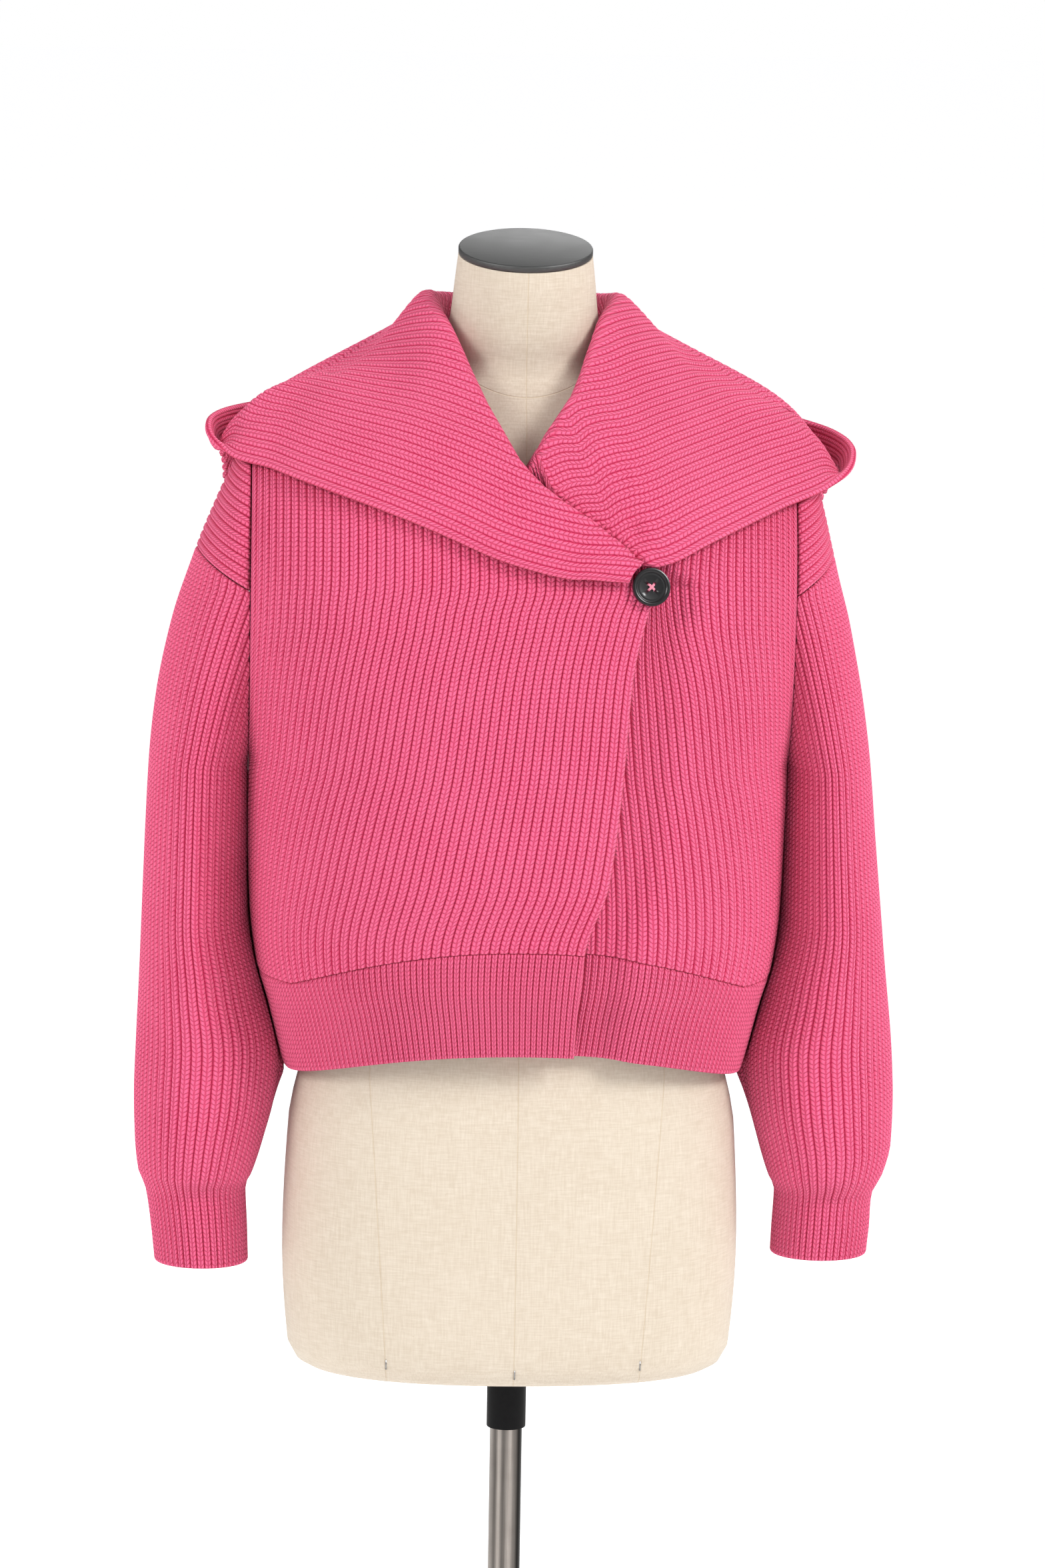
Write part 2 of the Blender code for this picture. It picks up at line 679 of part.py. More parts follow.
def stand():
    foot = FORM[0][0]
    floor = -DATUM
    collar = (
        (POLE_RADIUS + SEAM, foot - SEAM - COLLAR_HEIGHT),
        (COLLAR_RADIUS - 1, foot - SEAM - COLLAR_HEIGHT),
        (COLLAR_RADIUS, foot - SEAM - COLLAR_HEIGHT + 1),
        (COLLAR_RADIUS, foot - SEAM - 1),
        (COLLAR_RADIUS - 1, foot - SEAM),
        (POLE_RADIUS + SEAM, foot - SEAM),
    )
    turned("pole_collar", collar, "black", count=24, through=True)
    top = foot + SOCKET_DEPTH - 2
    low = floor + BASE_THICK + SEAM
    profile = ((POLE_RADIUS, low), (POLE_RADIUS, top - 1.5), (POLE_RADIUS - 1.5, top))
    turned("pole", profile, "steel", count=24)
    hole = POLE_RADIUS + SEAM
    hub_top = floor + BASE_THICK + HUB_HEIGHT
    base = (
        (BASE_RADIUS - 3, floor),
        (BASE_RADIUS, floor + 3),
        (BASE_RADIUS, floor + BASE_THICK - 2),
        (BASE_RADIUS - 3, floor + BASE_THICK),
        (HUB_RADIUS + 4, floor + BASE_THICK),
        (HUB_RADIUS, floor + BASE_THICK + 4),
        (HUB_RADIUS, hub_top - 2),
        (hole, hub_top),
        (hole, floor + BASE_THICK),
    )
    turned("base", base, "steel", count=40)


# The hood lies open as a wide collar. Each row is one cut across it, from its outer edge over the chest or
# the trough at the back, up to the crest and down the stand to the neck seam. A point is its distance from the
# middle, its y and its height.
HOOD_BACK = (
    # edge, turn, low, high, crest, stand, seam
    ((162, 126, 750), (154, 130, 619), (143, 104, 700), (101, 88, 783),
     (15, 87, 827), (13, 73, 817), (14, 81, 790)),
    ((92, 153, 748), (87, 148, 584), (82, 128, 680), (56, 101, 781),
     (7.5, 88.5, 827), (6.5, 74.5, 817), (7, 83.5, 789.5)),
    ((0, 163, 747), (0, 154, 570), (0, 136, 680), (0, 109, 780),
     (0, 89, 827), (0, 75, 817), (0, 84.5, 789.5)),
)
HOOD_RIGHT = (
    ((-75.2, -137, 637), (-75.4, -139, 640), (-77, -140, 644), (-80, -139, 648),
     (-85, -135, 652), (-82, -132, 649), (-75.5, -130, 639)),
    ((-48, -141.5, 640), (-50, -143, 647), (-53, -144.5, 655), (-57, -143.5, 664),
     (-60, -139, 669), (-58, -134.5, 665), (-54, -129, 649)),
    ((-25, -142, 641), (-28, -143.5, 652), (-33, -144, 665), (-38, -141, 677),
     (-41, -136, 684), (-39, -131, 679), (-34, -126, 659)),
    ((21, -138, 653), (16, -140, 668), (9, -138, 685), (3, -132, 701),
     (-1, -124.5, 712), (1, -120.5, 707), (5, -118, 684)),
    ((68, -129, 672), (60, -127, 693), (51, -119, 717), (42, -106, 742),
     (33, -91, 762), (34, -87, 757), (48, -95, 734)),
    ((114, -112, 688), (104, -103, 714), (93, -88, 745), (77, -65, 778),
     (60, -42, 813), (55, -37, 802), (62, -55, 775)),
    ((161, -86, 702), (150, -68, 733), (136, -38, 766), (107, -8, 792),
     (76, 10, 836), (63, 4, 820), (69, -3, 797)),
    ((195, -56, 712), (184, -36, 742), (166, -4, 769), (124, 20, 787),
     (70, 38, 835), (58, 30, 819), (66, 24, 797)),
    ((218, -41, 716), (210, -26, 735), (195, -4, 762), (140, 32, 782),
     (60, 56, 833), (50, 44, 818.5), (57, 43, 796)),
    ((236, -20, 729), (227, -12, 722), (212, -2, 747), (154, 38, 780),
     (49, 68, 831), (42, 54, 818), (47, 58, 794)),
    ((241, -2, 740), (231, 4, 722), (212, 8, 745), (154, 46, 778),
     (41, 74, 830), (36, 60, 818), (40, 66, 793)),
    ((233, 28, 747.5), (227, 42, 714), (206, 30, 740), (150, 56, 777),
     (32, 80, 829), (28, 66, 817.5), (31, 72, 792)),
    ((204, 84, 750), (217, 100, 666), (186, 70, 726), (135, 74, 778),
     (23, 84, 828), (20, 70, 817), (22, 78.5, 791)),
    *HOOD_BACK,
)
HOOD_LEFT = (
    ((-1, -104, 703), (-1.5, -104, 704), (-2, -104, 706), (-3, -103, 708),
     (-4, -101.5, 710), (-3, -99, 709), (-2, -101, 705)),
    ((20, -117.5, 687), (18, -116.5, 692), (14, -112.5, 701), (9, -108, 711),
     (4, -103, 723), (8, -99, 718), (20, -105, 704)),
    ((52, -124, 664), (49, -123.5, 672), (43, -120, 690), (33, -113, 715),
     (20, -98, 747), (24, -92, 744), (40, -98, 729)),
    ((88, -123.5, 650), (81, -125, 664), (70, -124, 692), (56, -111, 729),
     (36, -85, 768), (39, -77, 763), (56, -82, 750)),
    ((106, -131, 651), (98, -130, 673), (86, -119, 707), (70, -93, 750),
     (50, -57, 797), (49, -49, 790), (62, -60, 768)),
    ((130, -121, 662), (121, -117, 686), (108, -98, 723), (90, -66, 767),
     (64, -28, 823), (56, -26, 812), (66, -36, 784)),
    ((166, -100, 677), (155, -87, 706), (140, -60, 743), (116, -24, 784),
     (76, 10, 836), (63, 4, 820), (69, -3, 797)),
    ((198, -74, 689), (188, -56, 717), (172, -28, 753), (132, 6, 784),
     (70, 38, 835), (58, 30, 819), (66, 24, 797)),
    ((224, -54, 697), (216, -40, 715), (203, -14, 746), (152, 22, 779),
     (60, 56, 833), (50, 44, 818.5), (57, 43, 796)),
    ((245, -34, 708), (234, -26, 708), (219, -10, 735), (178, 28, 771),
     (49, 68, 831), (42, 54, 818), (47, 58, 794)),
    ((255, -6, 720), (242, 0, 706), (222, 6, 733), (177, 40, 770),
     (41, 74, 830), (36, 60, 818), (40, 66, 793)),
    ((253, 28, 731), (240, 42, 703), (218, 30, 732), (166, 56, 772),
     (32, 80, 829), (28, 66, 817.5), (31, 72, 792)),
    ((230, 84, 739), (227, 102, 660), (198, 72, 720), (144, 74, 776),
     (23, 84, 828), (20, 70, 817), (22, 78.5, 791)),
    *HOOD_BACK,
)
# Ribs that the right half covers at the front end of the left one: distance of each row's start from the edge
LEFT_START = (85.0, 62.0, 30.0, 3.0) + (0.0,) * 12
HOOD_STATIONS = 25
SECTION_SAMPLES = 73
TURN_SAMPLE, CREST_SAMPLE = 12, 48  # where the turn and the crest are among them
NECK_SEAM = 1.4  # gap along the hood's seam, which runs obliquely
YOKE_LIFT = 1.5  # more of it round the yokes, which curve away between the stations
LIFT = 0.7  # least gap under the hood where it lies on ribs
CLEAR = 1.6  # least distance of its plain face from what it lies on
NEAR = 14.0  # a face further away than this is another layer


def curve(points, where):
    """A smooth curve through points, read at parameters counted in points (Catmull-Rom)."""
    points = np.asarray(points, float)
    ends = np.concatenate([[2 * points[0] - points[1]], points, [2 * points[-1] - points[-2]]])
    where = np.clip(where, 0, len(points) - 1 - 1e-9)
    i = where.astype(int)
    t = (where - i).reshape((-1,) + (1,) * (points.ndim - 1))
    a, b, c, d = ends[i], ends[i + 1], ends[i + 2], ends[i + 3]
    return 0.5 * (2 * b + (c - a) * t + (2 * a - 5 * b + 4 * c - d) * t**2 + (3 * b - a - 3 * c + d) * t**3)


def neckline_x(z):
    """How far from the middle a front's neckline is at a height. Negative past the middle, under the lap."""
    xs, zs = column(FRONT_NECK, 0), column(FRONT_NECK, 1)
    return -np.interp(-z, [-height for height in zs], xs)


def seam_points(points):
    """Puts the hood's neck seam on the top edge of the fronts and the back."""
    x, y, z = points.T
    in_front = (y < SIDE_Y) & (z < NECK_Z)
    front_x = neckline_x(z)
    front_depth = front_y(front_x, z) + WALL
    at_front = np.stack([front_x - NECK_SEAM, front_depth, z + NECK_SEAM], axis=1)
    level = back_top_z(x)
    at_back = np.stack([x, np.maximum(back_y(x, level) - WALL, y), level + NECK_SEAM], axis=1)
    at_side = points + np.array([0, 0, NECK_SEAM])
    behind = y > 40
    return np.where(in_front[:, None], at_front, np.where(behind[:, None], at_back, at_side))


def hood_surface(table, sign, steps):
    """A fine grid over one half of the hood.

    Stations run from the front end to the centre back, samples from the edge to the neck seam.
    """
    rows = np.array(table, float)
    mirrored = rows[-2] * np.array([-1.0, 1.0, 1.0])
    stations = curve(np.concatenate([rows, [mirrored]]), np.linspace(0, len(rows) - 1, steps))
    stations[:, -1] = seam_points(stations[:, -1])
    where = np.linspace(0, rows.shape[1] - 1, SECTION_SAMPLES)
    fine = np.array([curve(station, where) for station in stations])
    fine[..., 0] *= sign
    return fine


def section_normals(fine, sign):
    """Normals on the face of the hood that shows in front."""
    normals = np.cross(np.gradient(fine, axis=0), np.gradient(fine, axis=1)) * -sign
    normals = normals / np.maximum(np.linalg.norm(normals, axis=2, keepdims=True), 1e-9)
    normals[-1, :, 0] = 0
    return normals / np.maximum(np.linalg.norm(normals, axis=2, keepdims=True), 1e-9)


def obstacle_tree(objects):
    points, faces = [], []
    for obj in objects:
        start = len(points)
        points.extend(tuple(v.co) for v in obj.data.vertices)
        faces.extend([start + i for i in face.vertices] for face in obj.data.polygons)
    return BVHTree.FromPolygons(points, faces)


def needed_shift(tree, point):
    """How far, and which way, a point has to move to lie CLEAR of everything in the tree."""
    place = point * MM + np.array([0, 0, DATUM * MM])
    location, normal, _, distance = tree.find_nearest(place.tolist())
    if location is None or distance > NEAR * MM:
        return np.zeros(3)
    height = float(np.dot(place - np.array(location), np.array(normal))) / MM
    if height >= CLEAR or (height > 0 and distance / MM >= CLEAR):
        return np.zeros(3)
    return (CLEAR - height) * np.array(normal)


def covered_depth(x, z, side):
    """Depth of the body and the yokes from the side-seam plane, wherever the hood can lie on them."""
    across = np.abs(x)
    on_panel = torso_depth(np.minimum(across, ARMHOLE_X), z, side)
    reach = smooth_read(SLEEVE, z, 4) * rounded(SHOULDER_TIP_Z - z, SHOULDER_ROUND)
    outer_x = smooth_read(YOKE, z, 1) + np.where(x > 0, lean(z, "left"), 0)
    beyond = np.clip((across - ARMHOLE_X) / (outer_x - ARMHOLE_X), 0, 1)
    return np.where(across < ARMHOLE_X, on_panel, reach * np.sqrt(1 - beyond**2))


def lift_off_body(fine, sign):
    """Moves the fall forwards off the chest, and backwards off the shoulder blades."""
    fall = np.arange(SECTION_SAMPLES) < CREST_SAMPLE
    x, y, z = fine[..., 0], fine[..., 1], fine[..., 2]
    ahead, behind = covered_depth(x, z, 2), covered_depth(x, z, 3)
    sunk = front_sink(x, z) * (sign > 0)
    gap = WALL + RIB + LIFT
    front_limit = SIDE_Y - ahead + sunk - gap
    back_limit = SIDE_Y + behind + gap
    moved = np.where((y < SIDE_Y) & (ahead > 1), np.minimum(y, front_limit), y)
    moved = np.where((y >= SIDE_Y) & (behind > 1), np.maximum(moved, back_limit), moved)
    fine[..., 1] = np.where(fall, moved, y)
    y = fine[..., 1]
    gap = gap + YOKE_LIFT
    reach = smooth_read(SLEEVE, z, 4) * rounded(SHOULDER_TIP_Z - z, SHOULDER_ROUND) + gap
    width = smooth_read(YOKE, z, 1) + np.where(x > 0, lean(z, "left"), 0) - ARMHOLE_X + gap
    across = np.maximum(np.abs(x) - ARMHOLE_X, 0)
    ratio = np.maximum(np.hypot(across / width, (y - SIDE_Y) / reach), 0.5)
    push = fall & (across > 0) & (ratio < 1) & (z < SHOULDER_TIP_Z)
    fine[..., 0] = np.where(push, np.sign(x) * (ARMHOLE_X + across / ratio), x)
    fine[..., 1] = np.where(push, SIDE_Y + (y - SIDE_Y) / ratio, y)


def lay_clear(fine, sign, tree):
    """Moves the hood off the pieces it lies on, with the moves spread to their neighbours. Its seam stays."""
    held = np.clip((SECTION_SAMPLES - 1 - np.arange(SECTION_SAMPLES)) / 10, 0, 1)[None, :, None]
    for _ in range(10):
        lift_off_body(fine, sign)
        normals = section_normals(fine, sign)
        shift = np.zeros_like(fine)
        for j in range(fine.shape[0]):
            for i in range(fine.shape[1] - 3):
                for point in (fine[j, i], fine[j, i] - WALL * normals[j, i]):
                    move = needed_shift(tree, point)
                    if np.dot(move, move) > np.dot(shift[j, i], shift[j, i]):
                        shift[j, i] = move
        padded = np.pad(shift, ((1, 1), (3, 3), (0, 0)), mode="edge")
        along = sum(padded[:, k : k + fine.shape[1]] for k in range(7)) / 7
        spread = (along[:-2] + 2 * along[1:-1] + along[2:]) / 4
        fine = fine + (0.5 * shift + 0.5 * spread) * held
    return fine


def section_places(lengths, start, count):
    """Places along one section where its lines run, in four runs, and which run each belongs to.

    Ribs keep their distance from the edge, and end at the turn and at the crest.
    """
    turn, crest, whole = lengths[TURN_SAMPLE], lengths[CREST_SAMPLE], lengths[-1]
    near_turn = min(5.0, 0.4 * turn)
    near_crest = min(6.0, 0.3 * (crest - turn), 0.4 * (whole - crest))
    ribs = np.arange(count) * HOOD_COLUMN - start
    rise = np.clip(ribs, 0, turn - near_turn)
    fall = np.clip(ribs, turn + near_turn, crest - near_crest)
    bend = turn + near_turn * np.array([-0.5, 0.0, 0.5])
    fold = crest + near_crest * np.array([-0.5, 0.0, 0.5, 1.0])
    stand_up = crest + near_crest + (whole - crest - near_crest) * np.array([0.35, 0.7, 1.0])
    return rise, bend, fall, np.concatenate([fold, stand_up])


def hood_half(name, table, starts, sign, obstacles):
    fine = lay_clear(hood_surface(table, sign, HOOD_STATIONS), sign, obstacle_tree(obstacles))
    normals = section_normals(fine, sign)
    start_at = np.interp(np.linspace(0, len(table) - 1, HOOD_STATIONS), np.arange(len(table)), starts)
    steps = np.linalg.norm(np.diff(fine, axis=1), axis=2)
    lengths = np.concatenate([np.zeros((HOOD_STATIONS, 1)), np.cumsum(steps, axis=1)], axis=1)
    count = int(np.ceil((lengths[:, CREST_SAMPLE] + start_at).max() / HOOD_COLUMN)) + 1
    raised = RIB * (np.arange(count) % 2)
    sparse = np.arange(count) // 2 * 2
    shown, hidden = [], []
    for j in range(HOOD_STATIONS):
        rise, bend, fall, rest = section_places(lengths[j], start_at[j], count)
        rise_ribs = raised * (rise > 0) * (rise < rise[-1])
        fall_ribs = raised * (fall > fall[0]) * (fall < fall[-1])
        plain = np.zeros(len(bend)), np.zeros(len(rest))
        sides = (
            (shown, (rise[sparse], bend, fall, rest), (0 * raised, plain[0], fall_ribs, plain[1]), 1, 0.0),
            (hidden, (rise, bend, fall[sparse], rest), (rise_ribs, plain[0], 0 * raised, plain[1]), -1, -WALL),
        )
        for rows, places, ribs, way, depth in sides:
            places, ribs = np.concatenate(places), way * np.concatenate(ribs)
            base = np.stack([np.interp(places, lengths[j], fine[j, :, k]) for k in range(3)], axis=1)
            normal = np.stack([np.interp(places, lengths[j], normals[j, :, k]) for k in range(3)], axis=1)
            rows.append(base + normal * (ribs + depth)[:, None])
    shell = Shell()
    grids = []
    for points in (np.array(shown), np.array(hidden)):
        points[-1, :, 0] = sign * SEAM / 2
        grids.append(shell.sheet(points))
    for cut in (np.s_[0], np.s_[-1], np.s_[:, 0], np.s_[:, -1]):
        shell.zip(grids[0][cut], grids[1][cut])
    return shell.build(name, "knit")


def hood():
    laid_on = [bpy.data.objects[name] for name in ("front_left", "front_right", "back", "form_body")]
    laid_on += [bpy.data.objects[name] for name in ("yoke_right", "yoke_left", "sleeve_left", "sleeve_right")]
    left = hood_half("hood_left", HOOD_LEFT, LEFT_START, 1.0, laid_on)
    hood_half("hood_right", HOOD_RIGHT, (0.0,) * len(HOOD_RIGHT), -1.0, [*laid_on, left])


def button():
    """A dished disc with a raised rim, lying on the corner of the right front."""
    profile = (
        (BUTTON_RADIUS - 2.5, 0.0),
        (BUTTON_RADIUS, 1.4),
        (BUTTON_RADIUS, BUTTON_THICK - 1.2),
        (BUTTON_RADIUS - 1.2, BUTTON_THICK),
        (BUTTON_RADIUS - 3.0, BUTTON_THICK - 0.3),
        (BUTTON_RADIUS - 4.6, BUTTON_THICK - 1.6),
    )
    obj = turned("button", [(radius, lift - DATUM) for radius, lift in profile], "black", count=26)
    step = 4.0
    slope_x = float(front_y(BUTTON_X + step, BUTTON_Z) - front_y(BUTTON_X - step, BUTTON_Z)) / (2 * step)
    slope_z = float(front_y(BUTTON_X, BUTTON_Z + step) - front_y(BUTTON_X, BUTTON_Z - step)) / (2 * step)
    facing = Vector((slope_x, -1.0, slope_z)).normalized()
    on_cloth = Vector((BUTTON_X, float(front_y(BUTTON_X, BUTTON_Z)), BUTTON_Z + DATUM))
    seat = on_cloth + facing * (RIB + BUTTON_SEAT)
    obj.rotation_mode = "QUATERNION"
    obj.rotation_quaternion = facing.to_track_quat("Z", "Y")
    obj.location = seat * MM


def main():
    clear_scene()
    fronts()
    back_panel()
    sleeves()
    yokes()
    form()
    cap()
    stand()
    hood()
    button()


main()
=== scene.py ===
# %% [markdown]
# # A hooded rib-knit wrap cardigan on a dress form
#
# The cardigan is knitted in a chunky rib from soft wool. Its hood is laid down open and reads as a
# wide collar. It hangs on a linen dress form with a metal neck cap, on a pole and a round base. The
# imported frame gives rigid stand-ins for every piece. Here each gets its real surface: ribs at their
# true pitch, rows of small stitches, woven linen with its seams, brushed metal and thread.

# %% The frame
import math

import bmesh
import bpy
import numpy as np
from mathutils import Matrix, Vector
from mathutils.bvhtree import BVHTree

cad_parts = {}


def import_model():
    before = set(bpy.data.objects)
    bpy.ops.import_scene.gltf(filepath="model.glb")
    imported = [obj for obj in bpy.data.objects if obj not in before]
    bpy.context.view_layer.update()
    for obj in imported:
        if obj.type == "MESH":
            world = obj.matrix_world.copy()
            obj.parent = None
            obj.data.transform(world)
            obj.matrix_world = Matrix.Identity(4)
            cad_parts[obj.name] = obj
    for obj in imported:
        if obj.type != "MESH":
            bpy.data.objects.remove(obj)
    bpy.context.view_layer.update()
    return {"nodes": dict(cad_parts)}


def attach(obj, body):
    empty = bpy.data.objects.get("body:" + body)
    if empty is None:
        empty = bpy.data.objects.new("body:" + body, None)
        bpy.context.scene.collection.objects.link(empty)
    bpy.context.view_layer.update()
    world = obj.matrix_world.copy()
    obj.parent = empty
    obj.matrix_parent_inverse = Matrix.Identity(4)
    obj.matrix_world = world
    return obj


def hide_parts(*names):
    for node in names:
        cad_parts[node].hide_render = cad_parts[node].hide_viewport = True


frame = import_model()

MM = 0.001
DATUM = 670.0  # all heights below are measured from here, in millimetres above the floor
RAISED = np.array([0, 0, DATUM * MM])

# %% [markdown]
# ## Camera
#
# The picture was taken with a long lens from five metres away, a little above the middle of the
# cardigan and turned slightly to one side. A long lens keeps upright lines parallel, as a catalogue
# picture wants. The camera was rolled by about a degree, which is kept.

# %% Camera
CAMERA_TURN = math.radians(-2.8)
CAMERA_AWAY = 5.0
CAMERA_HEIGHT = 1.21 + DATUM * MM
CAMERA_LOOKS_AT = Vector((0.0046, 0.0, 0.465 + DATUM * MM))
CAMERA_ROLL = math.radians(0.95)
SENSOR = 36.0
PHOTO_HEIGHT_PX = 2352
PX_PER_METRE = 1955.0  # at the place that the camera looks at
FOCAL_PX = PX_PER_METRE * math.hypot(CAMERA_AWAY, CAMERA_HEIGHT - CAMERA_LOOKS_AT.z)


def placed(name, data):
    """A new object in the scene."""
    obj = bpy.data.objects.new(name, data)
    bpy.context.scene.collection.objects.link(obj)
    return obj


def camera():
    data = bpy.data.cameras.new("camera")
    data.sensor_fit = "VERTICAL"
    data.sensor_height = SENSOR
    data.lens = FOCAL_PX * SENSOR / PHOTO_HEIGHT_PX
    obj = placed("camera", data)
    aside, back = math.sin(CAMERA_TURN) * CAMERA_AWAY, math.cos(CAMERA_TURN) * CAMERA_AWAY
    obj.location = (aside, -back, CAMERA_HEIGHT)
    looking = (CAMERA_LOOKS_AT - obj.location).to_track_quat("-Z", "Y").to_matrix()
    obj.rotation_euler = (looking @ Matrix.Rotation(CAMERA_ROLL, 3, "Z")).to_euler()
    bpy.context.scene.camera = obj
    return obj


print("lens", round(camera().data.lens, 1), "mm")

# %% [markdown]
# ## A small language for shader nodes
#
# A material in Blender is a tree of nodes. Adding and linking each node takes several lines, so a
# small class does both and hands back the socket that the next node reads. A material then reads
# like a sum: noise, times a number, plus another.

# %% Nodes
class Nodes:
    """Adds nodes to a tree by their type and links them in one line each."""

    def __init__(self, tree):
        self.tree = tree

    def add(self, kind, settings=None, **inputs):
        node = self.tree.nodes.new("ShaderNode" + kind)
        for key, value in (settings or {}).items():
            setattr(node, key, value)
        for key, value in inputs.items():
            self.feed(node.inputs[key.replace("_", " ")], value)
        return node

    def feed(self, socket, value):
        if isinstance(value, bpy.types.NodeSocket):
            self.tree.links.new(value, socket)
        else:
            socket.default_value = value

    def math(self, operation, *values):
        node = self.tree.nodes.new("ShaderNodeMath")
        node.operation = operation
        for socket, value in zip(node.inputs, values):
            self.feed(socket, value)
        return node.outputs[0]

    def plus(self, *values):
        return self.math("ADD", *values)

    def minus(self, *values):
        return self.math("SUBTRACT", *values)

    def times(self, *values):
        return self.math("MULTIPLY", *values)

    def noise(self, vector, scale, detail=2.0):
        node = self.add("TexNoise", Scale=scale, Detail=detail)
        self.feed(node.inputs["Vector"], vector)
        return node.outputs["Fac"]

    def ramp(self, value, low, high, start=0.0, end=1.0):
        node = self.add("MapRange", Value=value, From_Min=start, From_Max=end, To_Min=low, To_Max=high)
        return node.outputs["Result"]

    def mix(self, share, first, second):
        node = self.tree.nodes.new("ShaderNodeMix")
        node.data_type = "RGBA"
        self.feed(node.inputs[0], share)
        self.feed(node.inputs[6], first)
        self.feed(node.inputs[7], second)
        return node.outputs[2]

# %% [markdown]
# ## Floor and light
#
# The studio is white all round. A large pale floor runs out far behind the form, and the world shows
# white to the camera but lights the scene more softly, so that large lamps can still shape the ribs.
# The key lamp stands high in front on the right, a weaker one fills from the left, and a third lights
# the back. Shiny things mirror a darker studio, as they do between the screens and stands of a real
# one.

# %% Floor and light
WORLD_LIGHT = 0.66
STUDIO_DARK = 0.46  # how much darker the studio looks in reflections
FLOOR_SIZE = 90.0
FLOOR_GLOW = 0.42  # keeps the far floor as white as the studio
FLOOR_WHITE, FLOOR_MIRRORED = (0.93, 0.93, 0.94, 1), (0.30, 0.29, 0.28, 1)
LAMPS_AIM = Vector((0, 0, 1.1))
LAMPS = (
    # name, place, size, power
    ("key", (2.9, -2.0, 3.7), 1.4, 134),
    ("fill", (-2.9, -2.0, 3.1), 1.6, 74),
    ("back", (0.6, 3.2, 3.2), 2.0, 45),
)


def principled(name, **inputs):
    """A new material and its shader, with inputs set by their names."""
    made = bpy.data.materials.new(name)
    made.use_nodes = True
    shader = made.node_tree.nodes["Principled BSDF"]
    for key, value in inputs.items():
        shader.inputs[key.replace("_", " ")].default_value = value
    return made, shader


def floor():
    mesh = bpy.data.meshes.new("floor")
    half = FLOOR_SIZE / 2
    corners = [(-half, -half, 0), (half, -half, 0), (half, half, 0), (-half, half, 0)]
    mesh.from_pydata(corners, [], [(0, 1, 2, 3)])
    obj = placed("floor", mesh)
    glow = {"Emission_Color": (1.0, 1.0, 1.0, 1), "Emission_Strength": FLOOR_GLOW}
    made, shader = principled("studio floor", Roughness=0.9, **glow)
    n = Nodes(made.node_tree)
    mirrored = n.add("LightPath").outputs["Is Glossy Ray"]
    n.feed(shader.inputs["Base Color"], n.mix(mirrored, FLOOR_WHITE, FLOOR_MIRRORED))
    mesh.materials.append(made)


def world():
    made = bpy.data.worlds.new("studio")
    bpy.context.scene.world = made
    made.use_nodes = True
    n = Nodes(made.node_tree)
    background = made.node_tree.nodes["Background"]
    background.inputs["Color"].default_value = (1.0, 1.0, 1.0, 1)
    seen = n.add("LightPath")
    level = n.ramp(seen.outputs["Is Camera Ray"], WORLD_LIGHT, 1.0)
    strength = n.math("MULTIPLY_ADD", seen.outputs["Is Glossy Ray"], -STUDIO_DARK, level)
    n.feed(background.inputs["Strength"], strength)


def lamp(name, place, size, power):
    data = bpy.data.lights.new(name, "AREA")
    data.size = size
    data.energy = power
    obj = placed(name, data)
    obj.location = place
    obj.rotation_euler = (LAMPS_AIM - obj.location).to_track_quat("-Z", "Y").to_euler()


floor()
world()
for settings in LAMPS:
    lamp(*settings)
bpy.context.scene.view_settings.view_transform = "Standard"
print("lamps", [name for name, *_ in LAMPS])

# %% [markdown]
# ## Stitches
#
# In a knitted rib each raised column is one wale: a chain of small V-shaped stitches. Its two legs
# lean outwards from a shallow middle line, and a deep furrow parts it from the next wale. The ribs
# themselves are real geometry. The stitches on them are about 3.6 mm long, so they are drawn by a node
# group that any wool can use. It reads the map on the cloth, which counts ribs across and stitches
# along, and puts out a height, a level of painted light (painted shade between the stitches and in
# the furrows) and a mask of loose fibres.

# %% Shader groups
def group(name, inputs, outputs):
    """An empty shader node group with named sockets: (name, kind) pairs."""
    tree = bpy.data.node_groups.new(name, "ShaderNodeTree")
    for socket_name, kind in inputs:
        tree.interface.new_socket(socket_name, in_out="INPUT", socket_type="NodeSocket" + kind)
    for socket_name, kind in outputs:
        tree.interface.new_socket(socket_name, in_out="OUTPUT", socket_type="NodeSocket" + kind)
    return tree, tree.nodes.new("NodeGroupInput"), tree.nodes.new("NodeGroupOutput")


def use_group(nodes, tree, **inputs):
    node = nodes.tree.nodes.new("ShaderNodeGroup")
    node.node_tree = tree
    for key, value in inputs.items():
        nodes.feed(node.inputs[key.replace("_", " ")], value)
    return node

# %% Stitch group
LEG_SLANT = 0.62  # how many stitch lengths a leg climbs from the middle of the rib to the furrow
# Painted light of the wool: a least level of painted shade between the stitches, the light that the
# strands add, and the painted shade taken off in the furrows
LEAST_PAINTED_LIGHT, STRAND_PAINTED_LIGHT, FURROW_PAINTED_SHADE = 0.22, 0.85, 0.7
FIBRE_HEIGHT = 0.35


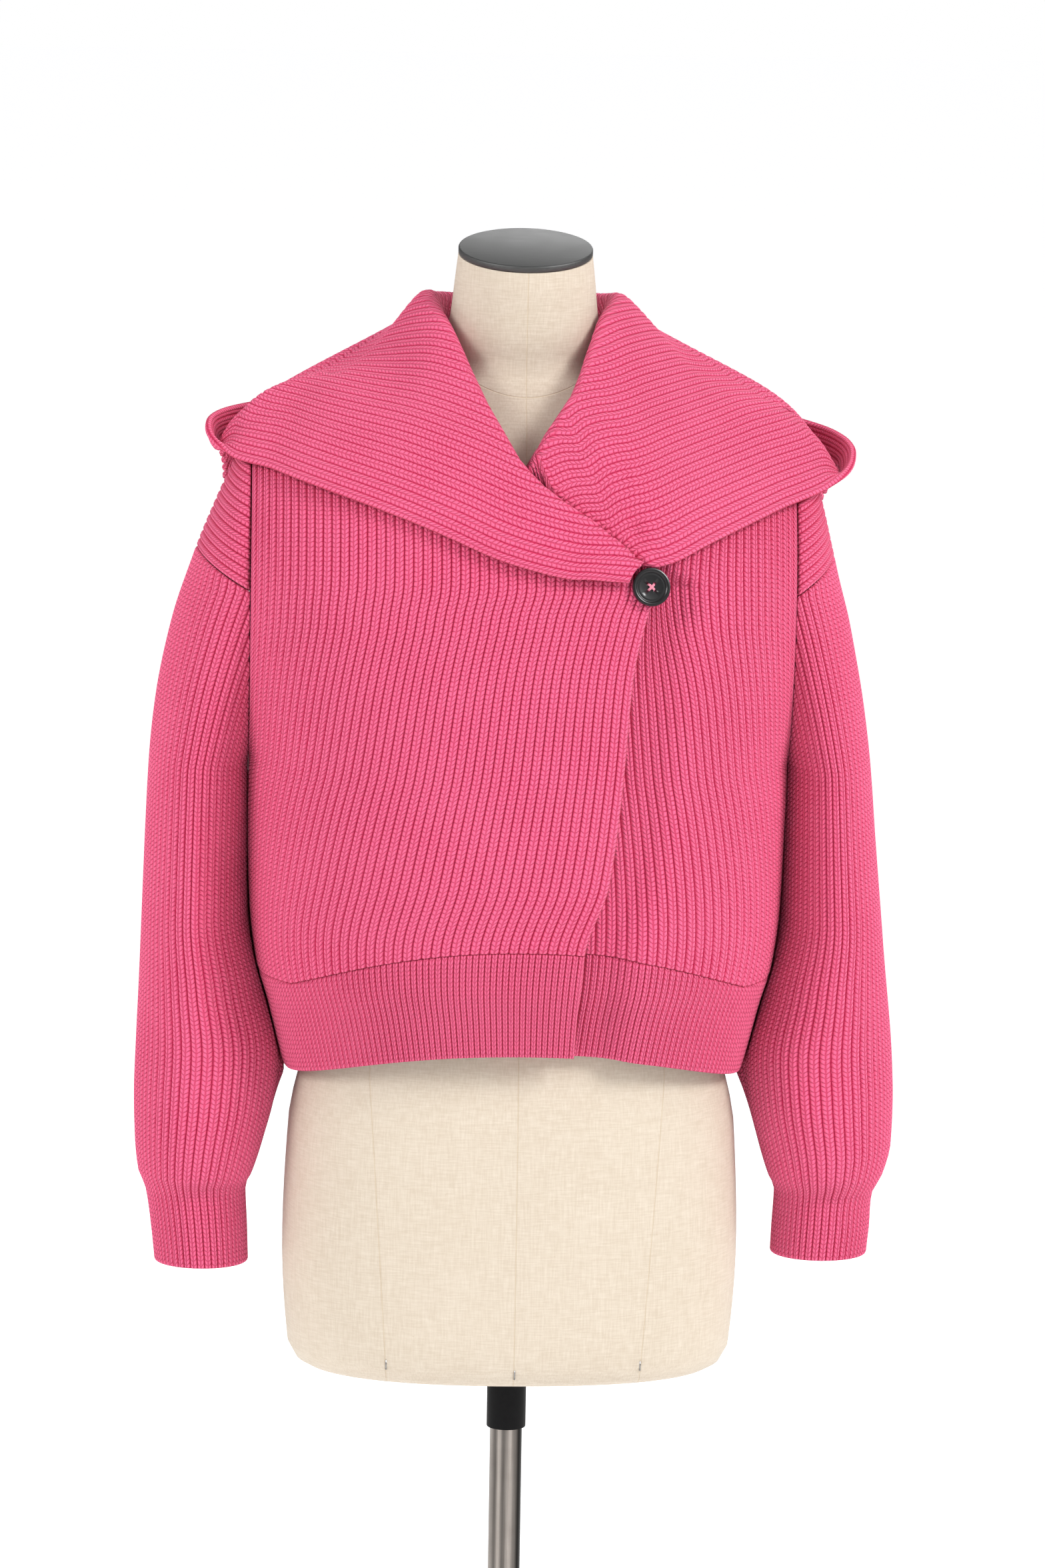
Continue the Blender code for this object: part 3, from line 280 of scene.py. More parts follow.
def stitch_group():
    tree, given, out = group(
        "rib stitches",
        [("Rib", "Float"), ("Row", "Float"), ("Place", "Vector")],
        [("Height", "Float"), ("Shade", "Float"), ("Fibre", "Float")],
    )
    n = Nodes(tree)
    wander = n.times(n.minus(n.noise(given.outputs["Place"], 260.0), 0.5), 0.10)
    across = n.math("FRACT", n.plus(given.outputs["Rib"], wander))
    side = n.math("ABSOLUTE", n.minus(n.times(across, 2.0), 1.0))
    slanted = n.minus(given.outputs["Row"], n.times(side, LEG_SLANT))
    uneven = n.times(n.noise(given.outputs["Place"], 140.0), 0.5)
    phase = n.math("FRACT", n.plus(slanted, uneven))
    centred = n.minus(n.times(phase, 2.0), 1.0)
    along = n.minus(1.0, n.math("POWER", n.math("ABSOLUTE", centred), 2.6))
    from_leg = n.minus(n.times(side, 2.0), 1.0)
    leg = n.minus(1.0, n.math("POWER", n.math("ABSOLUTE", from_leg), 2.4))
    strand = n.times(n.math("POWER", n.math("MAXIMUM", along, 0.0), 0.6), n.math("MAXIMUM", leg, 0.0))
    fibre = n.noise(given.outputs["Place"], 1500.0, 3.0)
    height = n.plus(strand, n.times(fibre, FIBRE_HEIGHT))
    # Painted shade in the furrow, and painted light on the strands of the stitches
    furrow_shade_mask = n.math("POWER", side, 5.0)
    painted_lit = n.plus(LEAST_PAINTED_LIGHT, n.times(strand, STRAND_PAINTED_LIGHT))
    shade = n.minus(painted_lit, n.times(furrow_shade_mask, FURROW_PAINTED_SHADE))
    tree.links.new(height, out.inputs["Height"])
    tree.links.new(n.math("MAXIMUM", shade, 0.0), out.inputs["Shade"])
    tree.links.new(fibre, out.inputs["Fibre"])
    return tree


STITCHES = stitch_group()
print("stitch group:", len(STITCHES.nodes), "nodes")

# %% [markdown]
# ## Wool
#
# The wool is a bright cool pink. Its colour carries painted light: the tops of the stitches are left
# fully lit, and painted shade takes the gaps between them to a deep raspberry, where light that gets in
# bounces from wool to wool. A fine halo of loose fibres softens the surface, which sheen gives, and
# the fibres get a paler painted highlight in the colour. Sheen and roughness are the same everywhere,
# so they sit on the shader.

# %% Wool material
# The first colour is painted shade for the furrows and the gaps between stitches, the second the fully
# lit tops of the stitches, the third a painted highlight on loose fibres
WOOL_PAINTED_SHADE = (0.56, 0.014, 0.080, 1)
WOOL_TOP = (0.83, 0.130, 0.262, 1)
WOOL_FIBRE_HIGHLIGHT = (0.95, 0.240, 0.380, 1)
WOOL_SHEEN = (1.0, 0.62, 0.74, 1)
STITCH_DEPTH = 0.0014


def wool(name):
    made, shader = principled(
        name, Roughness=0.92, Specular_IOR_Level=0.2,
        Sheen_Weight=0.16, Sheen_Roughness=0.45, Sheen_Tint=WOOL_SHEEN,
    )
    n = Nodes(made.node_tree)
    mapped = n.add("UVMap", {"uv_map": "ribs"})
    parts = n.add("SeparateXYZ", Vector=mapped.outputs["UV"])
    place = n.add("TexCoord").outputs["Object"]
    stitches = use_group(n, STITCHES, Rib=parts.outputs["X"], Row=parts.outputs["Y"], Place=place)
    worn = n.noise(place, 18.0, 4.0)
    # Painted light from the stitches, with tone that differs at random
    shade = n.plus(stitches.outputs["Shade"], n.ramp(worn, -0.07, 0.07, 0.3, 0.7))
    colour = n.mix(shade, WOOL_PAINTED_SHADE, WOOL_TOP)
    # Loose fibres: their marks come from the fibre noise, and their paler colour is a painted highlight
    fibre_highlight_mask = n.ramp(stitches.outputs["Fibre"], 0.0, 0.45, 0.52, 0.75)
    colour = n.mix(fibre_highlight_mask, colour, WOOL_FIBRE_HIGHLIGHT)
    bump = n.add("Bump", Strength=0.9, Distance=STITCH_DEPTH, Height=stitches.outputs["Height"])
    n.feed(shader.inputs["Base Color"], colour)
    n.feed(shader.inputs["Normal"], bump.outputs["Normal"])
    return made


WOOL = wool("pink wool")
print("wool:", len(WOOL.node_tree.nodes), "nodes")

# %% [markdown]
# ## Cut of the cardigan
#
# The tables repeat the shapes that the rigid pieces were built from: the outline of the body, the edge
# and the neckline of the wearer's right front, which laps over the left one, the hem, the sleeves and
# the yokes. Every length is in millimetres. A few heights are enough, because a monotone cubic reads
# them at any height in between. It never swings past its points, so no outline has a kink or a bulge.

# %% Shape tables
WALL = 3.6  # knit thickness under the ribs
SEAM = 0.3
SHARPNESS = 2.4
SIDE_Y = 5.0
ARMHOLE_X = 206.0
BESIDE_X = ARMHOLE_X + SEAM / 2  # sleeves and yokes start here
UNDERARM_Z = 485.0
NECK_X, NECK_Z = 66.0, 795.0
SHOULDER_TIP_Z = 738.0
SHOULDER_ROUND = 120.0

BODY = (
    # height, half_width, front, back
    (235, 171.5, 125, 116),
    (262, 179.5, 127, 118),
    (300, 189, 136, 126),
    (330, 197.5, 146, 134),
    (370, 202.5, 152, 137),
    (420, 204.5, 156, 135),
    (485, 206, 158, 130),
    (540, 206, 158, 126),
    (600, 206, 150, 122),
    (650, 206, 138, 118),
    (700, 206, 120, 112),
    (740, 206, 104, 102),
    (800, 206, 84, 86),
)
# Height, x
FRONT_EDGE = (
    (240, 40), (276, 41), (358, 47), (410, 64), (487, 73), (564, 79), (610, 89), (634, 97), (800, 97),
)
# x, height
FRONT_NECK = ((-66, 795), (-61, 768), (-44, 728), (-22, 697), (25, 664), (60, 646), (80, 637), (98, 634))
# Height, x
LAP_EDGE = (
    (240, 40), (358, 47), (410, 64), (487, 73), (564, 79), (634, 97),
    (646, 62), (664, 27), (697, -20), (728, -60),
)
UNDER_EDGE_X = -25.0
UNDER_SINK, LAP_BESIDE, LAP_EASE = 12.0, 50.0, 32.0
HEM_TOP_SIDE, HEM_TOP_FRONT, HEM_TOP_BACK = 322.0, 358.0, 326.0
HEM_LOW_SIDE, HEM_LOW_FRONT, HEM_LOW_BACK = 247.0, 275.0, 244.0
HEM_HALF, HEM_CURVE = 172.0, 2.2
BACK_NECK_DIP, SHOULDER_SAG = 8.0, 2.0

SLEEVE = (
    # height, outer_x, inner_x, centre_y, half_depth
    (92, 273, 203.5, -6, 34),
    (120, 276, 204.5, -6, 36),
    (152, 281, 206, -6, 38),
    (163, 286, 201, -6, 50),
    (190, 289, 192.5, -5, 57),
    (225, 290, 184, -4, 60),
    (260, 289, 181, -2, 61),
    (310, 287, 193, 0, 66),
    (370, 285, 206.6, 2, 71),
    (430, 283, 206.6, 4, 74),
    (485, 280.5, 206.3, 5, 76),
    (530, 276, 206.3, 5, 77),
    (590, 264, 206.3, 5, 77),
    (645, 246, 206.3, 5, 76),
)
SLEEVE_TUCK = 20.0  # how far a sleeve is drawn in behind the side of the body
SLEEVE_FOLD = {"right": 15.0, "left": 3.0}  # how far it falls back where it meets the side in front
BODY_ROOM = 4.3  # least distance between the plain faces of the body and of a sleeve beside it
YOKE = ((618, 254), (645, 246), (680, 232), (711, 218.5), (728, 212), (738, 208))
# How much further out the wearer's left sleeve and yoke reach than the right ones: height, distance
LEAN = (
    (80, 2), (120, 1.5), (150, -1), (190, 4), (250, 3.5), (350, -2.5), (450, -8.5), (555, -12),
    (606, -10.5), (650, -6.5), (680, -1.5), (711, 3), (738, 0),
)
DROP_OUTER_Z, DROP_FRONT_Z = 645.0, 620.0
YOKE_TOP_Z = 736.0
SIDES = {"right": -1.0, "left": 1.0}

# %% Reading the tables
def smooth_read(table, where, index=1):
    """Reads a column of a table at any place, by a curve that never swings past the given points."""
    xs = np.array([row[0] for row in table], float)
    ys = np.array([row[index] for row in table], float)
    where = np.clip(where, xs[0], xs[-1])
    steps = np.diff(xs)
    slopes = np.diff(ys) / steps
    tangents = np.zeros_like(ys)
    both = slopes[:-1] * slopes[1:]
    tangents[1:-1] = np.where(both > 0, 2 * both / (slopes[:-1] + slopes[1:] + 1e-12), 0)
    tangents[0], tangents[-1] = slopes[0], slopes[-1]
    i = np.clip(np.searchsorted(xs, where) - 1, 0, len(steps) - 1)
    h = steps[i]
    t = (where - xs[i]) / h
    start = ys[i] * (1 + 2 * t) * (1 - t) ** 2 + tangents[i] * h * t * (1 - t) ** 2
    return start + ys[i + 1] * t * t * (3 - 2 * t) + tangents[i + 1] * h * t * t * (t - 1)


def smoothstep(value):
    value = np.clip(value, 0, 1)
    return value * value * (3 - 2 * value)


def rounded(left, reach):
    """1 away from an edge, falling to 0 at it as a quarter circle."""
    t = np.clip(left / reach, 0, 1)
    return np.sqrt(np.clip(1 - (1 - t) ** 2, 0, 1))


def shoulder_z(x):
    """Height of the shoulder line, from the neck out to the shoulder tip."""
    along = np.clip((np.abs(x) - NECK_X) / (ARMHOLE_X - NECK_X), 0, 1)
    return NECK_Z + (SHOULDER_TIP_Z - NECK_Z) * along - SHOULDER_SAG * np.sin(math.pi * along)


def armhole_share(z):
    return rounded(z - UNDERARM_Z, DROP_FRONT_Z - UNDERARM_Z)


def armhole_depth(z):
    return smooth_read(SLEEVE, z, 4) * armhole_share(z)


def torso_depth(x, z, side):
    """Distance of the body's surface from the side-seam plane: side 2 is the front, 3 the back."""
    reach = smooth_read(BODY, z, side)
    ratio = np.clip(armhole_depth(z) / reach, 0, 0.99) ** SHARPNESS
    half = smooth_read(BODY, z, 1) / (1 - ratio) ** (1 / SHARPNESS)
    inside = np.clip(1 - (np.abs(x) / half) ** SHARPNESS, 0, 1) ** (1 / SHARPNESS)
    closing = shoulder_z(x) + 1.1 * np.maximum(0, NECK_X - np.abs(x))
    return reach * inside * rounded(closing - z, SHOULDER_ROUND)


def front_top_z(x):
    return np.where(x < -NECK_X, shoulder_z(x), smooth_read(FRONT_NECK, x))


def back_top_z(x):
    dip = BACK_NECK_DIP * (1 - np.clip(np.abs(x) / NECK_X, 0, 1) ** 2)
    return shoulder_z(x) - np.where(np.abs(x) < NECK_X, dip, 0)


def hem_z(x, side_level, middle_level):
    outward = np.clip(np.abs(x) / HEM_HALF, 0, 1)
    return middle_level + (side_level - middle_level) * outward**HEM_CURVE


def lapped_sink(x, z):
    """How far the wearer's left front dips behind the right one, near and under its edge."""
    return UNDER_SINK * smoothstep((smooth_read(LAP_EDGE, z) + LAP_BESIDE - x) / LAP_EASE)

# %% [markdown]
# ## From a surface to a knitted cloth
#
# A real knit is two layers of yarn thick and its edges are round. So each piece starts as one smooth
# grid of points, with a rib number across and a stitch number along. The face is pushed out along the
# rib's profile, the inside is pushed in, and both come together in a round edge all the way round.
# That costs more faces than a flat sheet with a Solidify modifier, but every edge looks soft, and the
# ribs show in the outline.

# %% Knitted cloth
RIB_TOP, FURROW = 1.6, -1.0  # height of the face over the smooth grid
PER_RIB = 6  # columns of points in one rib
EDGE_ROUND = 2.3  # how far from an edge the face and the inside start to come together
EDGE_STEPS = (0.35, 1.1)  # rows of points within a round edge, by their distance from it
STITCH = 3.6  # length of one stitch
MOST_ROW = 7.2  # most distance between two rows of points


def rib_profile(rib):
    """1 on a leg of the stitches, a little less on the middle line, 0 in the furrow."""
    side = np.abs(2 * np.mod(rib, 1.0) - 1)
    return (1 - side**3.2) * (1 - 0.14 * (1 - side) ** 2)


def unit(vectors):
    return vectors / np.maximum(np.linalg.norm(vectors, axis=2, keepdims=True), 1e-9)


def grid_normals(grid, closed):
    down = np.gradient(grid, axis=0)
    if closed:
        across = np.roll(grid, -1, axis=1) - np.roll(grid, 1, axis=1)
    else:
        across = np.gradient(grid, axis=1)
    return unit(np.cross(across, down))


def travelled(grid, axis):
    """Distance along rows or columns, counted from the first."""
    steps = np.linalg.norm(np.diff(grid, axis=axis), axis=2)
    zero = np.zeros_like(np.take(steps, [0], axis=axis))
    return np.concatenate([zero, np.cumsum(steps, axis=axis)], axis=axis)


def edge_shares(length, step=MOST_ROW):
    """Shares of a length at even steps, with a few more near both ends for a round edge."""
    near = np.array([0.0, *EDGE_STEPS, EDGE_ROUND]) / length
    inner = np.linspace(0, 1, max(3, int(math.ceil(length / step)) + 1))
    inner = inner[(inner > near[-1] * 1.4) & (inner < 1 - near[-1] * 1.4)]
    return np.concatenate([near, inner, (1 - near)[::-1]])


def face_out(mesh):
    """Turns the faces of a closed mesh outwards."""
    work = bmesh.new()
    work.from_mesh(mesh)
    bmesh.ops.recalc_face_normals(work, faces=work.faces)
    if work.calc_volume(signed=True) < 0:
        bmesh.ops.reverse_faces(work, faces=work.faces)
    work.to_mesh(mesh)
    work.free()
    mesh.shade_smooth()


def stand_in(obj, node, body):
    """The piece takes the place of its rigid stand-in and moves with its body."""
    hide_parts(node)
    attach(obj, body)


class Knit:
    """Collects the faces of one piece: each layer has a face, an inside and a round edge."""

    def __init__(self):
        self.points, self.faces, self.maps = [], [], []
        self.count = 0

    def layer(self, grid, rib, row, normals, closed=False, fit=None, edges=None):
        ends = travelled(grid, 0)
        near = np.minimum(ends, ends[-1:] - ends)
        if not closed:
            cross = travelled(grid, 1)
            near = np.minimum(near, np.minimum(cross, cross[:, -1:] - cross))
        if edges is not None:
            near = edges
        ease = rounded(near, EDGE_ROUND)[..., None]
        profile = rib_profile(rib)[..., None]
        face = FURROW + (RIB_TOP - FURROW) * profile
        inside = -WALL + 0.9 * (1 - profile)
        middle = -WALL / 2 + 0.5
        sheets = [grid + normals * (middle + (level - middle) * ease) for level in (face, inside)]
        for points, flip in zip(sheets, (False, True)):
            if fit is not None:
                fit(points)
            self.sheet(points, rib, row, closed, flip)

    def sheet(self, points, rib, row, closed, flip):
        rows, columns = points.shape[:2]
        index = self.count + np.arange(rows * columns).reshape(rows, columns)
        self.count += rows * columns
        self.points.append(points.reshape(-1, 3))
        if closed:
            index = np.concatenate([index, index[:, :1]], axis=1)
            last = np.round(rib[:, -1:] + rib[:, 1:2] - rib[:, :1], 6)
            rib = np.concatenate([rib, last], axis=1)
            row = np.concatenate([row, row[:, :1]], axis=1)
        corners = [(slice(None, -1), slice(None, -1)), (slice(None, -1), slice(1, None))]
        corners += [(slice(1, None), slice(1, None)), (slice(1, None), slice(None, -1))]
        if flip:
            corners.reverse()
        self.faces.append(np.stack([index[c].ravel() for c in corners], axis=1))
        both = np.stack([rib, row], axis=2)
        self.maps.append(np.stack([both[c].reshape(-1, 2) for c in corners], axis=1))

    def build(self, node):
        name = "knit_" + node
        points = np.concatenate(self.points)
        faces, maps = np.concatenate(self.faces), np.concatenate(self.maps)
        keys = np.round(points * 2e3).astype(np.int64)
        _, first, index = np.unique(keys, axis=0, return_index=True, return_inverse=True)
        faces = index.reshape(-1)[faces]
        kept, places = [], []
        for corners, place in zip(faces.tolist(), maps.tolist()):
            chosen = [k for k in range(4) if corners[k] != corners[k - 1]]
            if len(chosen) >= 3 and len({corners[k] for k in chosen}) == len(chosen):
                kept.append([corners[k] for k in chosen])
                places.extend(place[k] for k in chosen)
        mesh = bpy.data.meshes.new(name)
        world_points = points[first] * MM + RAISED
        mesh.from_pydata(world_points.tolist(), [], kept)
        uv = mesh.uv_layers.new(name="ribs")
        uv.data.foreach_set("uv", np.array(places).ravel())
        face_out(mesh)
        mesh.materials.append(WOOL)
        obj = placed(name, mesh)
        triangles = sum(len(face) - 2 for face in kept)
        area = sum(face.area for face in mesh.polygons) / 2
        print(f"{name}: {triangles} triangles, cloth area {area:.3f} m2")
        stand_in(obj, node, "form")
        return obj

# %% [markdown]
# ## Fronts and back
#
# A panel could be knitted flat and then draped. It is built in place instead, because the ribs then
# keep their pitch and the edges stay where they were measured. Its columns run up the body in even
# steps round it, and lean in where the armhole takes cloth away. The hem is a second, finer rib of
# the same yarn, and is knitted on: it's a layer of its own with more columns. Where the two fronts
# are buttoned, the ribs of the under front are drawn in towards the button.

# %% Body panels
HEIGHT_STEP = 5.0
HEIGHTS = np.arange(235.0, 801.0, HEIGHT_STEP)
ARMHOLE_LEAN = 77.0  # how far the columns away from the armhole have leaned in at its top
LEAN_REACH = 20.0  # within about this distance of the armhole they follow its edge instead
BUTTON_X, BUTTON_Z = 90.5, 633.0
RIB_PITCH, HEM_PITCH = 7.0, 4.55
PULL_SHARE, PULL_HEIGHT, PULL_WIDTH = 0.55, 48, 34  # how the button draws the under front's ribs in
DENSE_FROM = 0.82  # from this share of its height a panel has closer rows, for its shaped top edge


def column_tracks(side, start, end, count):
    """x of every column at each of HEIGHTS, at even steps round the body between two edges."""
    share = np.linspace(0, 1, count)
    tracks = []
    for z in HEIGHTS:
        half = float(smooth_read(BODY, z, 1))
        x0, x1 = max(start(z), -half), min(end(z), half)
        turn = np.linspace(math.asin(max(-1, x0 / half)), math.asin(min(1, x1 / half)), 400)
        xs = half * np.sin(turn)
        ys = torso_depth(xs, np.full_like(xs, min(z, 600.0)), side)
        along = np.concatenate([[0], np.cumsum(np.hypot(np.diff(xs), np.diff(ys)))])
        near_start = np.exp(-share * along[-1] / LEAN_REACH)
        near_end = near_start[::-1]
        taken = float(armhole_depth(z))
        gentle = ARMHOLE_LEAN * float(smoothstep((z - 340) / 280))
        at_start = (near_start * taken + (1 - near_start) * gentle) * (x0 == -half)
        at_end = (near_end * taken + (1 - near_end) * gentle) * (x1 == half)
        whole = along[-1] + taken * (x0 == -half) + taken * (x1 == half)
        place = share * whole + (1 - share) * at_start - share * at_end - taken * (x0 == -half)
        tracks.append(np.interp(np.maximum.accumulate(np.clip(place, 0, along[-1])), along, xs))
    return np.array(tracks)


def track_x(tracks, z):
    """x of every column at heights of the shape (columns,) or (rows, columns)."""
    step = np.clip((z - HEIGHTS[0]) / HEIGHT_STEP, 0, len(HEIGHTS) - 1.001)
    low = step.astype(int)
    part = step - low
    columns = np.arange(tracks.shape[1])
    return tracks[low, columns] * (1 - part) + tracks[low + 1, columns] * part


def settle(tracks, height, level):
    """The height at which each column meets a line across the panel."""
    z = np.full(tracks.shape[1], height)
    for _ in range(40):
        z = 0.5 * (z + level(track_x(tracks, z)))
    return z


def panel_layer(knit, side, start, end, low, high, ribs, dense_top, sink=None, drawn_in=False):
    """One rib between two edges and two lines across the panel."""
    count = ribs * PER_RIB + 1
    tracks = column_tracks(side, start, end, count)
    foot, head = settle(tracks, 300.0, low), settle(tracks, 600.0, high)
    shares = edge_shares(float(np.max(head - foot)))
    if dense_top:
        closer = np.linspace(DENSE_FROM, 1, 26)[:-1]
        shares = np.unique(np.concatenate([shares[shares < DENSE_FROM], closer, shares[-4:]]))
    z = foot + (head - foot) * shares[:, None]
    x = track_x(tracks, z)
    depth = torso_depth(x, z, side)
    if sink is not None:
        depth = depth - sink(x, z)
    sign = -1 if side == 2 else 1
    grid = np.stack([x, SIDE_Y + sign * depth, z], axis=2)
    normals = grid_normals(grid, False)
    if np.sum(normals[..., 1]) * sign < 0:
        normals = -normals
    rib = np.broadcast_to(np.arange(count) / PER_RIB, z.shape)
    row = travelled(grid, 0) / STITCH
    if drawn_in:
        near = np.exp(-(((z - BUTTON_Z) / PULL_HEIGHT) ** 2) - ((x - 95) / PULL_WIDTH) ** 2)
        grid[..., 0] = x + (BUTTON_X + 4 - x) * PULL_SHARE * near
        grid[..., 1] -= 1.5 * near * sign

    def fit(points):
        points[..., 0] = np.clip(points[..., 0], -ARMHOLE_X + SEAM / 2, ARMHOLE_X - SEAM / 2)
        beyond = SIDE_Y + sign * SEAM / 2
        points[..., 1] = (np.minimum if side == 2 else np.maximum)(points[..., 1], beyond)

    knit.layer(grid, rib, row, normals, fit=fit)


def body_panel(name, side, start, end, top, levels, width, sink=None, drawn_in=False):
    """A front or the back: its hem and the main rib above it, between two edges."""
    (low_side, low_middle), (top_side, top_middle) = levels
    knit = Knit()

    def low(x):
        return hem_z(x, low_side, low_middle)

    def hem_top(x):
        return hem_z(x, top_side, top_middle)

    hem_ribs, ribs = round(width / HEM_PITCH), round(width / RIB_PITCH)
    panel_layer(knit, side, start, end, low, hem_top, hem_ribs, False, sink)
    panel_layer(knit, side, start, end, hem_top, top, ribs, True, sink, drawn_in)
    return knit.build(name)


FAR = 999.0  # past the side of the body
FRONT_LEVELS = ((HEM_LOW_SIDE, HEM_LOW_FRONT), (HEM_TOP_SIDE, HEM_TOP_FRONT))
BACK_LEVELS = ((HEM_LOW_SIDE, HEM_LOW_BACK), (HEM_TOP_SIDE, HEM_TOP_BACK))
front_right = body_panel(
    "front_right", 2, lambda z: -FAR, lambda z: smooth_read(FRONT_EDGE, z), front_top_z, FRONT_LEVELS, 322
)
front_left = body_panel(
    "front_left", 2, lambda z: UNDER_EDGE_X, lambda z: FAR, lambda x: front_top_z(-x), FRONT_LEVELS, 273,
    lapped_sink, True,
)
back = body_panel("back", 3, lambda z: -FAR, lambda z: FAR, back_top_z, BACK_LEVELS, 480)

# %% [markdown]
# ## Sleeves and yokes
#
# A sleeve is a tube of the same rib. It hangs full, then gathers into a snug cuff, so its columns stay
# the same and simply draw together. Each column has a top of its own, so that the last row follows
# the slanting seam of the yoke. The yoke is a small piece over the shoulder whose ribs run across,
# parallel to that seam. Where a sleeve lies beside the body it is tucked in, and kept just clear.

# %% Sleeves
SLEEVE_RIBS = 54
SLEEVE_MIDDLE = (244.0, 2.0)  # x and y
SLEEVE_HALF_WIDTH, SLEEVE_HALF_DEPTH = 42, 70
CUFF_FOOT = {"right": 92.0, "left": 101.0}
CUFF_TOP = 156.0


def lean(z, side):
    """The wearer's left sleeve hangs a little closer at the top and further out at the bottom."""
    return 0.0 * z if side == "right" else smooth_read(LEAN, z, 1)


def beside_body(y, z, room):
    """How far out a sleeve hangs clear of the body's side, at most as far as the plane of the armhole."""
    reach = np.where(y < SIDE_Y, smooth_read(BODY, z, 2), smooth_read(BODY, z, 3))
    ratio = np.clip(np.abs(y - SIDE_Y) / reach, 0, 1)
    side_x = smooth_read(BODY, z, 1) * (1 - ratio**SHARPNESS) ** (1 / SHARPNESS)
    return np.minimum(side_x + room, BESIDE_X)


def sleeve_point(turn, z, side):
    """A place on a sleeve, at a turn round it and a height. It is tucked in beside the body."""
    outer_x = smooth_read(SLEEVE, z, 1) + lean(z, side)
    inner_x = smooth_read(SLEEVE, z, 2)
    share = armhole_share(z)
    reach_in = np.where(z > UNDERARM_Z, np.sqrt(np.clip(1 - share**2, 0, 1)), 1.0)
    edge_x = np.where(z > UNDERARM_Z, BESIDE_X, inner_x)
    radius = (outer_x - edge_x) / (1 + reach_in)
    x = outer_x - radius + radius * np.cos(turn)
    y = smooth_read(SLEEVE, z, 3) - smooth_read(SLEEVE, z, 4) * np.sin(turn)
    behind = 2 * np.clip(-np.sin(turn), 0, 1) * np.clip(-np.cos(turn), 0, 1)
    x = x - SLEEVE_TUCK * behind * smoothstep((UNDERARM_Z - z) / 60) * smoothstep((z - 200) / 60)
    ahead = 2 * np.clip(np.sin(turn), 0, 1) * np.clip(-np.cos(turn), 0, 1)
    y = y + SLEEVE_FOLD[side] * ahead * smoothstep((UNDERARM_Z - z) / 90) * smoothstep((z - 230) / 90)
    x = np.where(z < UNDERARM_Z, np.maximum(x, beside_body(y, z, BODY_ROOM)), x)
    return np.stack([SIDES[side] * x, y, z], axis=-1)


def drop_z(turn):
    """Height of the seam between a yoke and its sleeve."""
    behind = UNDERARM_Z + (DROP_FRONT_Z - UNDERARM_Z) * (1 - np.abs(np.cos(turn)))
    return np.where(np.cos(turn) > 0, DROP_FRONT_Z + (DROP_OUTER_Z - DROP_FRONT_Z) * np.cos(turn), behind)


def even_turns(count):
    """Turns round a sleeve that give its ribs even widths, although it isn't round."""
    turn = np.linspace(-math.pi, math.pi, 721)
    x, y = SLEEVE_HALF_WIDTH * np.cos(turn), SLEEVE_HALF_DEPTH * np.sin(turn)
    steps = np.hypot(np.diff(x), np.diff(y))
    along = np.concatenate([[0], np.cumsum(steps)])
    return np.interp(np.linspace(0, along[-1], count + 1)[:-1], along, turn)


def facing_out(grid, closed, centre):
    normals = grid_normals(grid, closed)
    away = grid - centre
    away[..., 2] = 0
    return normals if np.sum(normals * away) > 0 else -normals


def sleeve(side, sign):
    turns = even_turns(SLEEVE_RIBS * PER_RIB)
    foot = CUFF_FOOT[side]
    heights = edge_shares(float(np.max(drop_z(turns))) - foot)[:, None]
    tops = drop_z(turns) - SEAM
    cuff_share = (CUFF_TOP - foot) / (DROP_OUTER_Z - foot)
    level = foot + (DROP_OUTER_Z - foot) * heights + 0 * turns
    squeeze = np.clip((heights - cuff_share) / (1 - cuff_share), 0, 1)
    z = level + squeeze * (tops - DROP_OUTER_Z)
    grid = sleeve_point(turns[None, :] + 0 * z, z, side)
    normals = facing_out(grid, True, np.array([sign * SLEEVE_MIDDLE[0], SLEEVE_MIDDLE[1], 0.0]))
    rib = np.broadcast_to(np.arange(len(turns)) / PER_RIB, z.shape)

    def fit(points):
        y, z = points[..., 1], points[..., 2]
        limit = np.where(z > UNDERARM_Z, BESIDE_X, beside_body(y, z, BODY_ROOM - RIB_TOP))
        points[..., 0] = sign * np.maximum(sign * points[..., 0], limit)

    knit = Knit()
    knit.layer(grid, rib, travelled(grid, 0) / STITCH, normals, closed=True, fit=fit)
    return knit.build("sleeve_" + side)


sleeves = {side: sleeve(side, sign) for side, sign in SIDES.items()}

# %% Yokes
YOKE_RIBS = 15
YOKE_MIDDLE_X = 190.0


def yoke_depth(z):
    return smooth_read(SLEEVE, z, 4) * rounded(SHOULDER_TIP_Z - z, SHOULDER_ROUND)


def yoke(side, sign):
    turns = np.linspace(-math.pi / 2, math.pi / 2, 49)
    share = np.linspace(0, 1, YOKE_RIBS * PER_RIB + 1)[:, None]
    z = drop_z(turns) + (YOKE_TOP_Z - drop_z(turns)) * share
    outer_x = smooth_read(YOKE, z, 1) + lean(z, side)
    x = BESIDE_X + (outer_x - BESIDE_X) * np.cos(turns)
    grid = np.stack([sign * x, SIDE_Y - yoke_depth(z) * np.sin(turns), z], axis=2)
    normals = facing_out(grid, False, np.array([sign * YOKE_MIDDLE_X, SIDE_Y, 0.0]))
    rib = np.broadcast_to(share * YOKE_RIBS, z.shape)

    def fit(points):
        points[..., 0] = sign * np.maximum(sign * points[..., 0], BESIDE_X)

    knit = Knit()
    knit.layer(grid, rib, travelled(grid, 1) / STITCH, normals, fit=fit)
    return knit.build("yoke_" + side)


yokes = {side: yoke(side, sign) for side, sign in SIDES.items()}

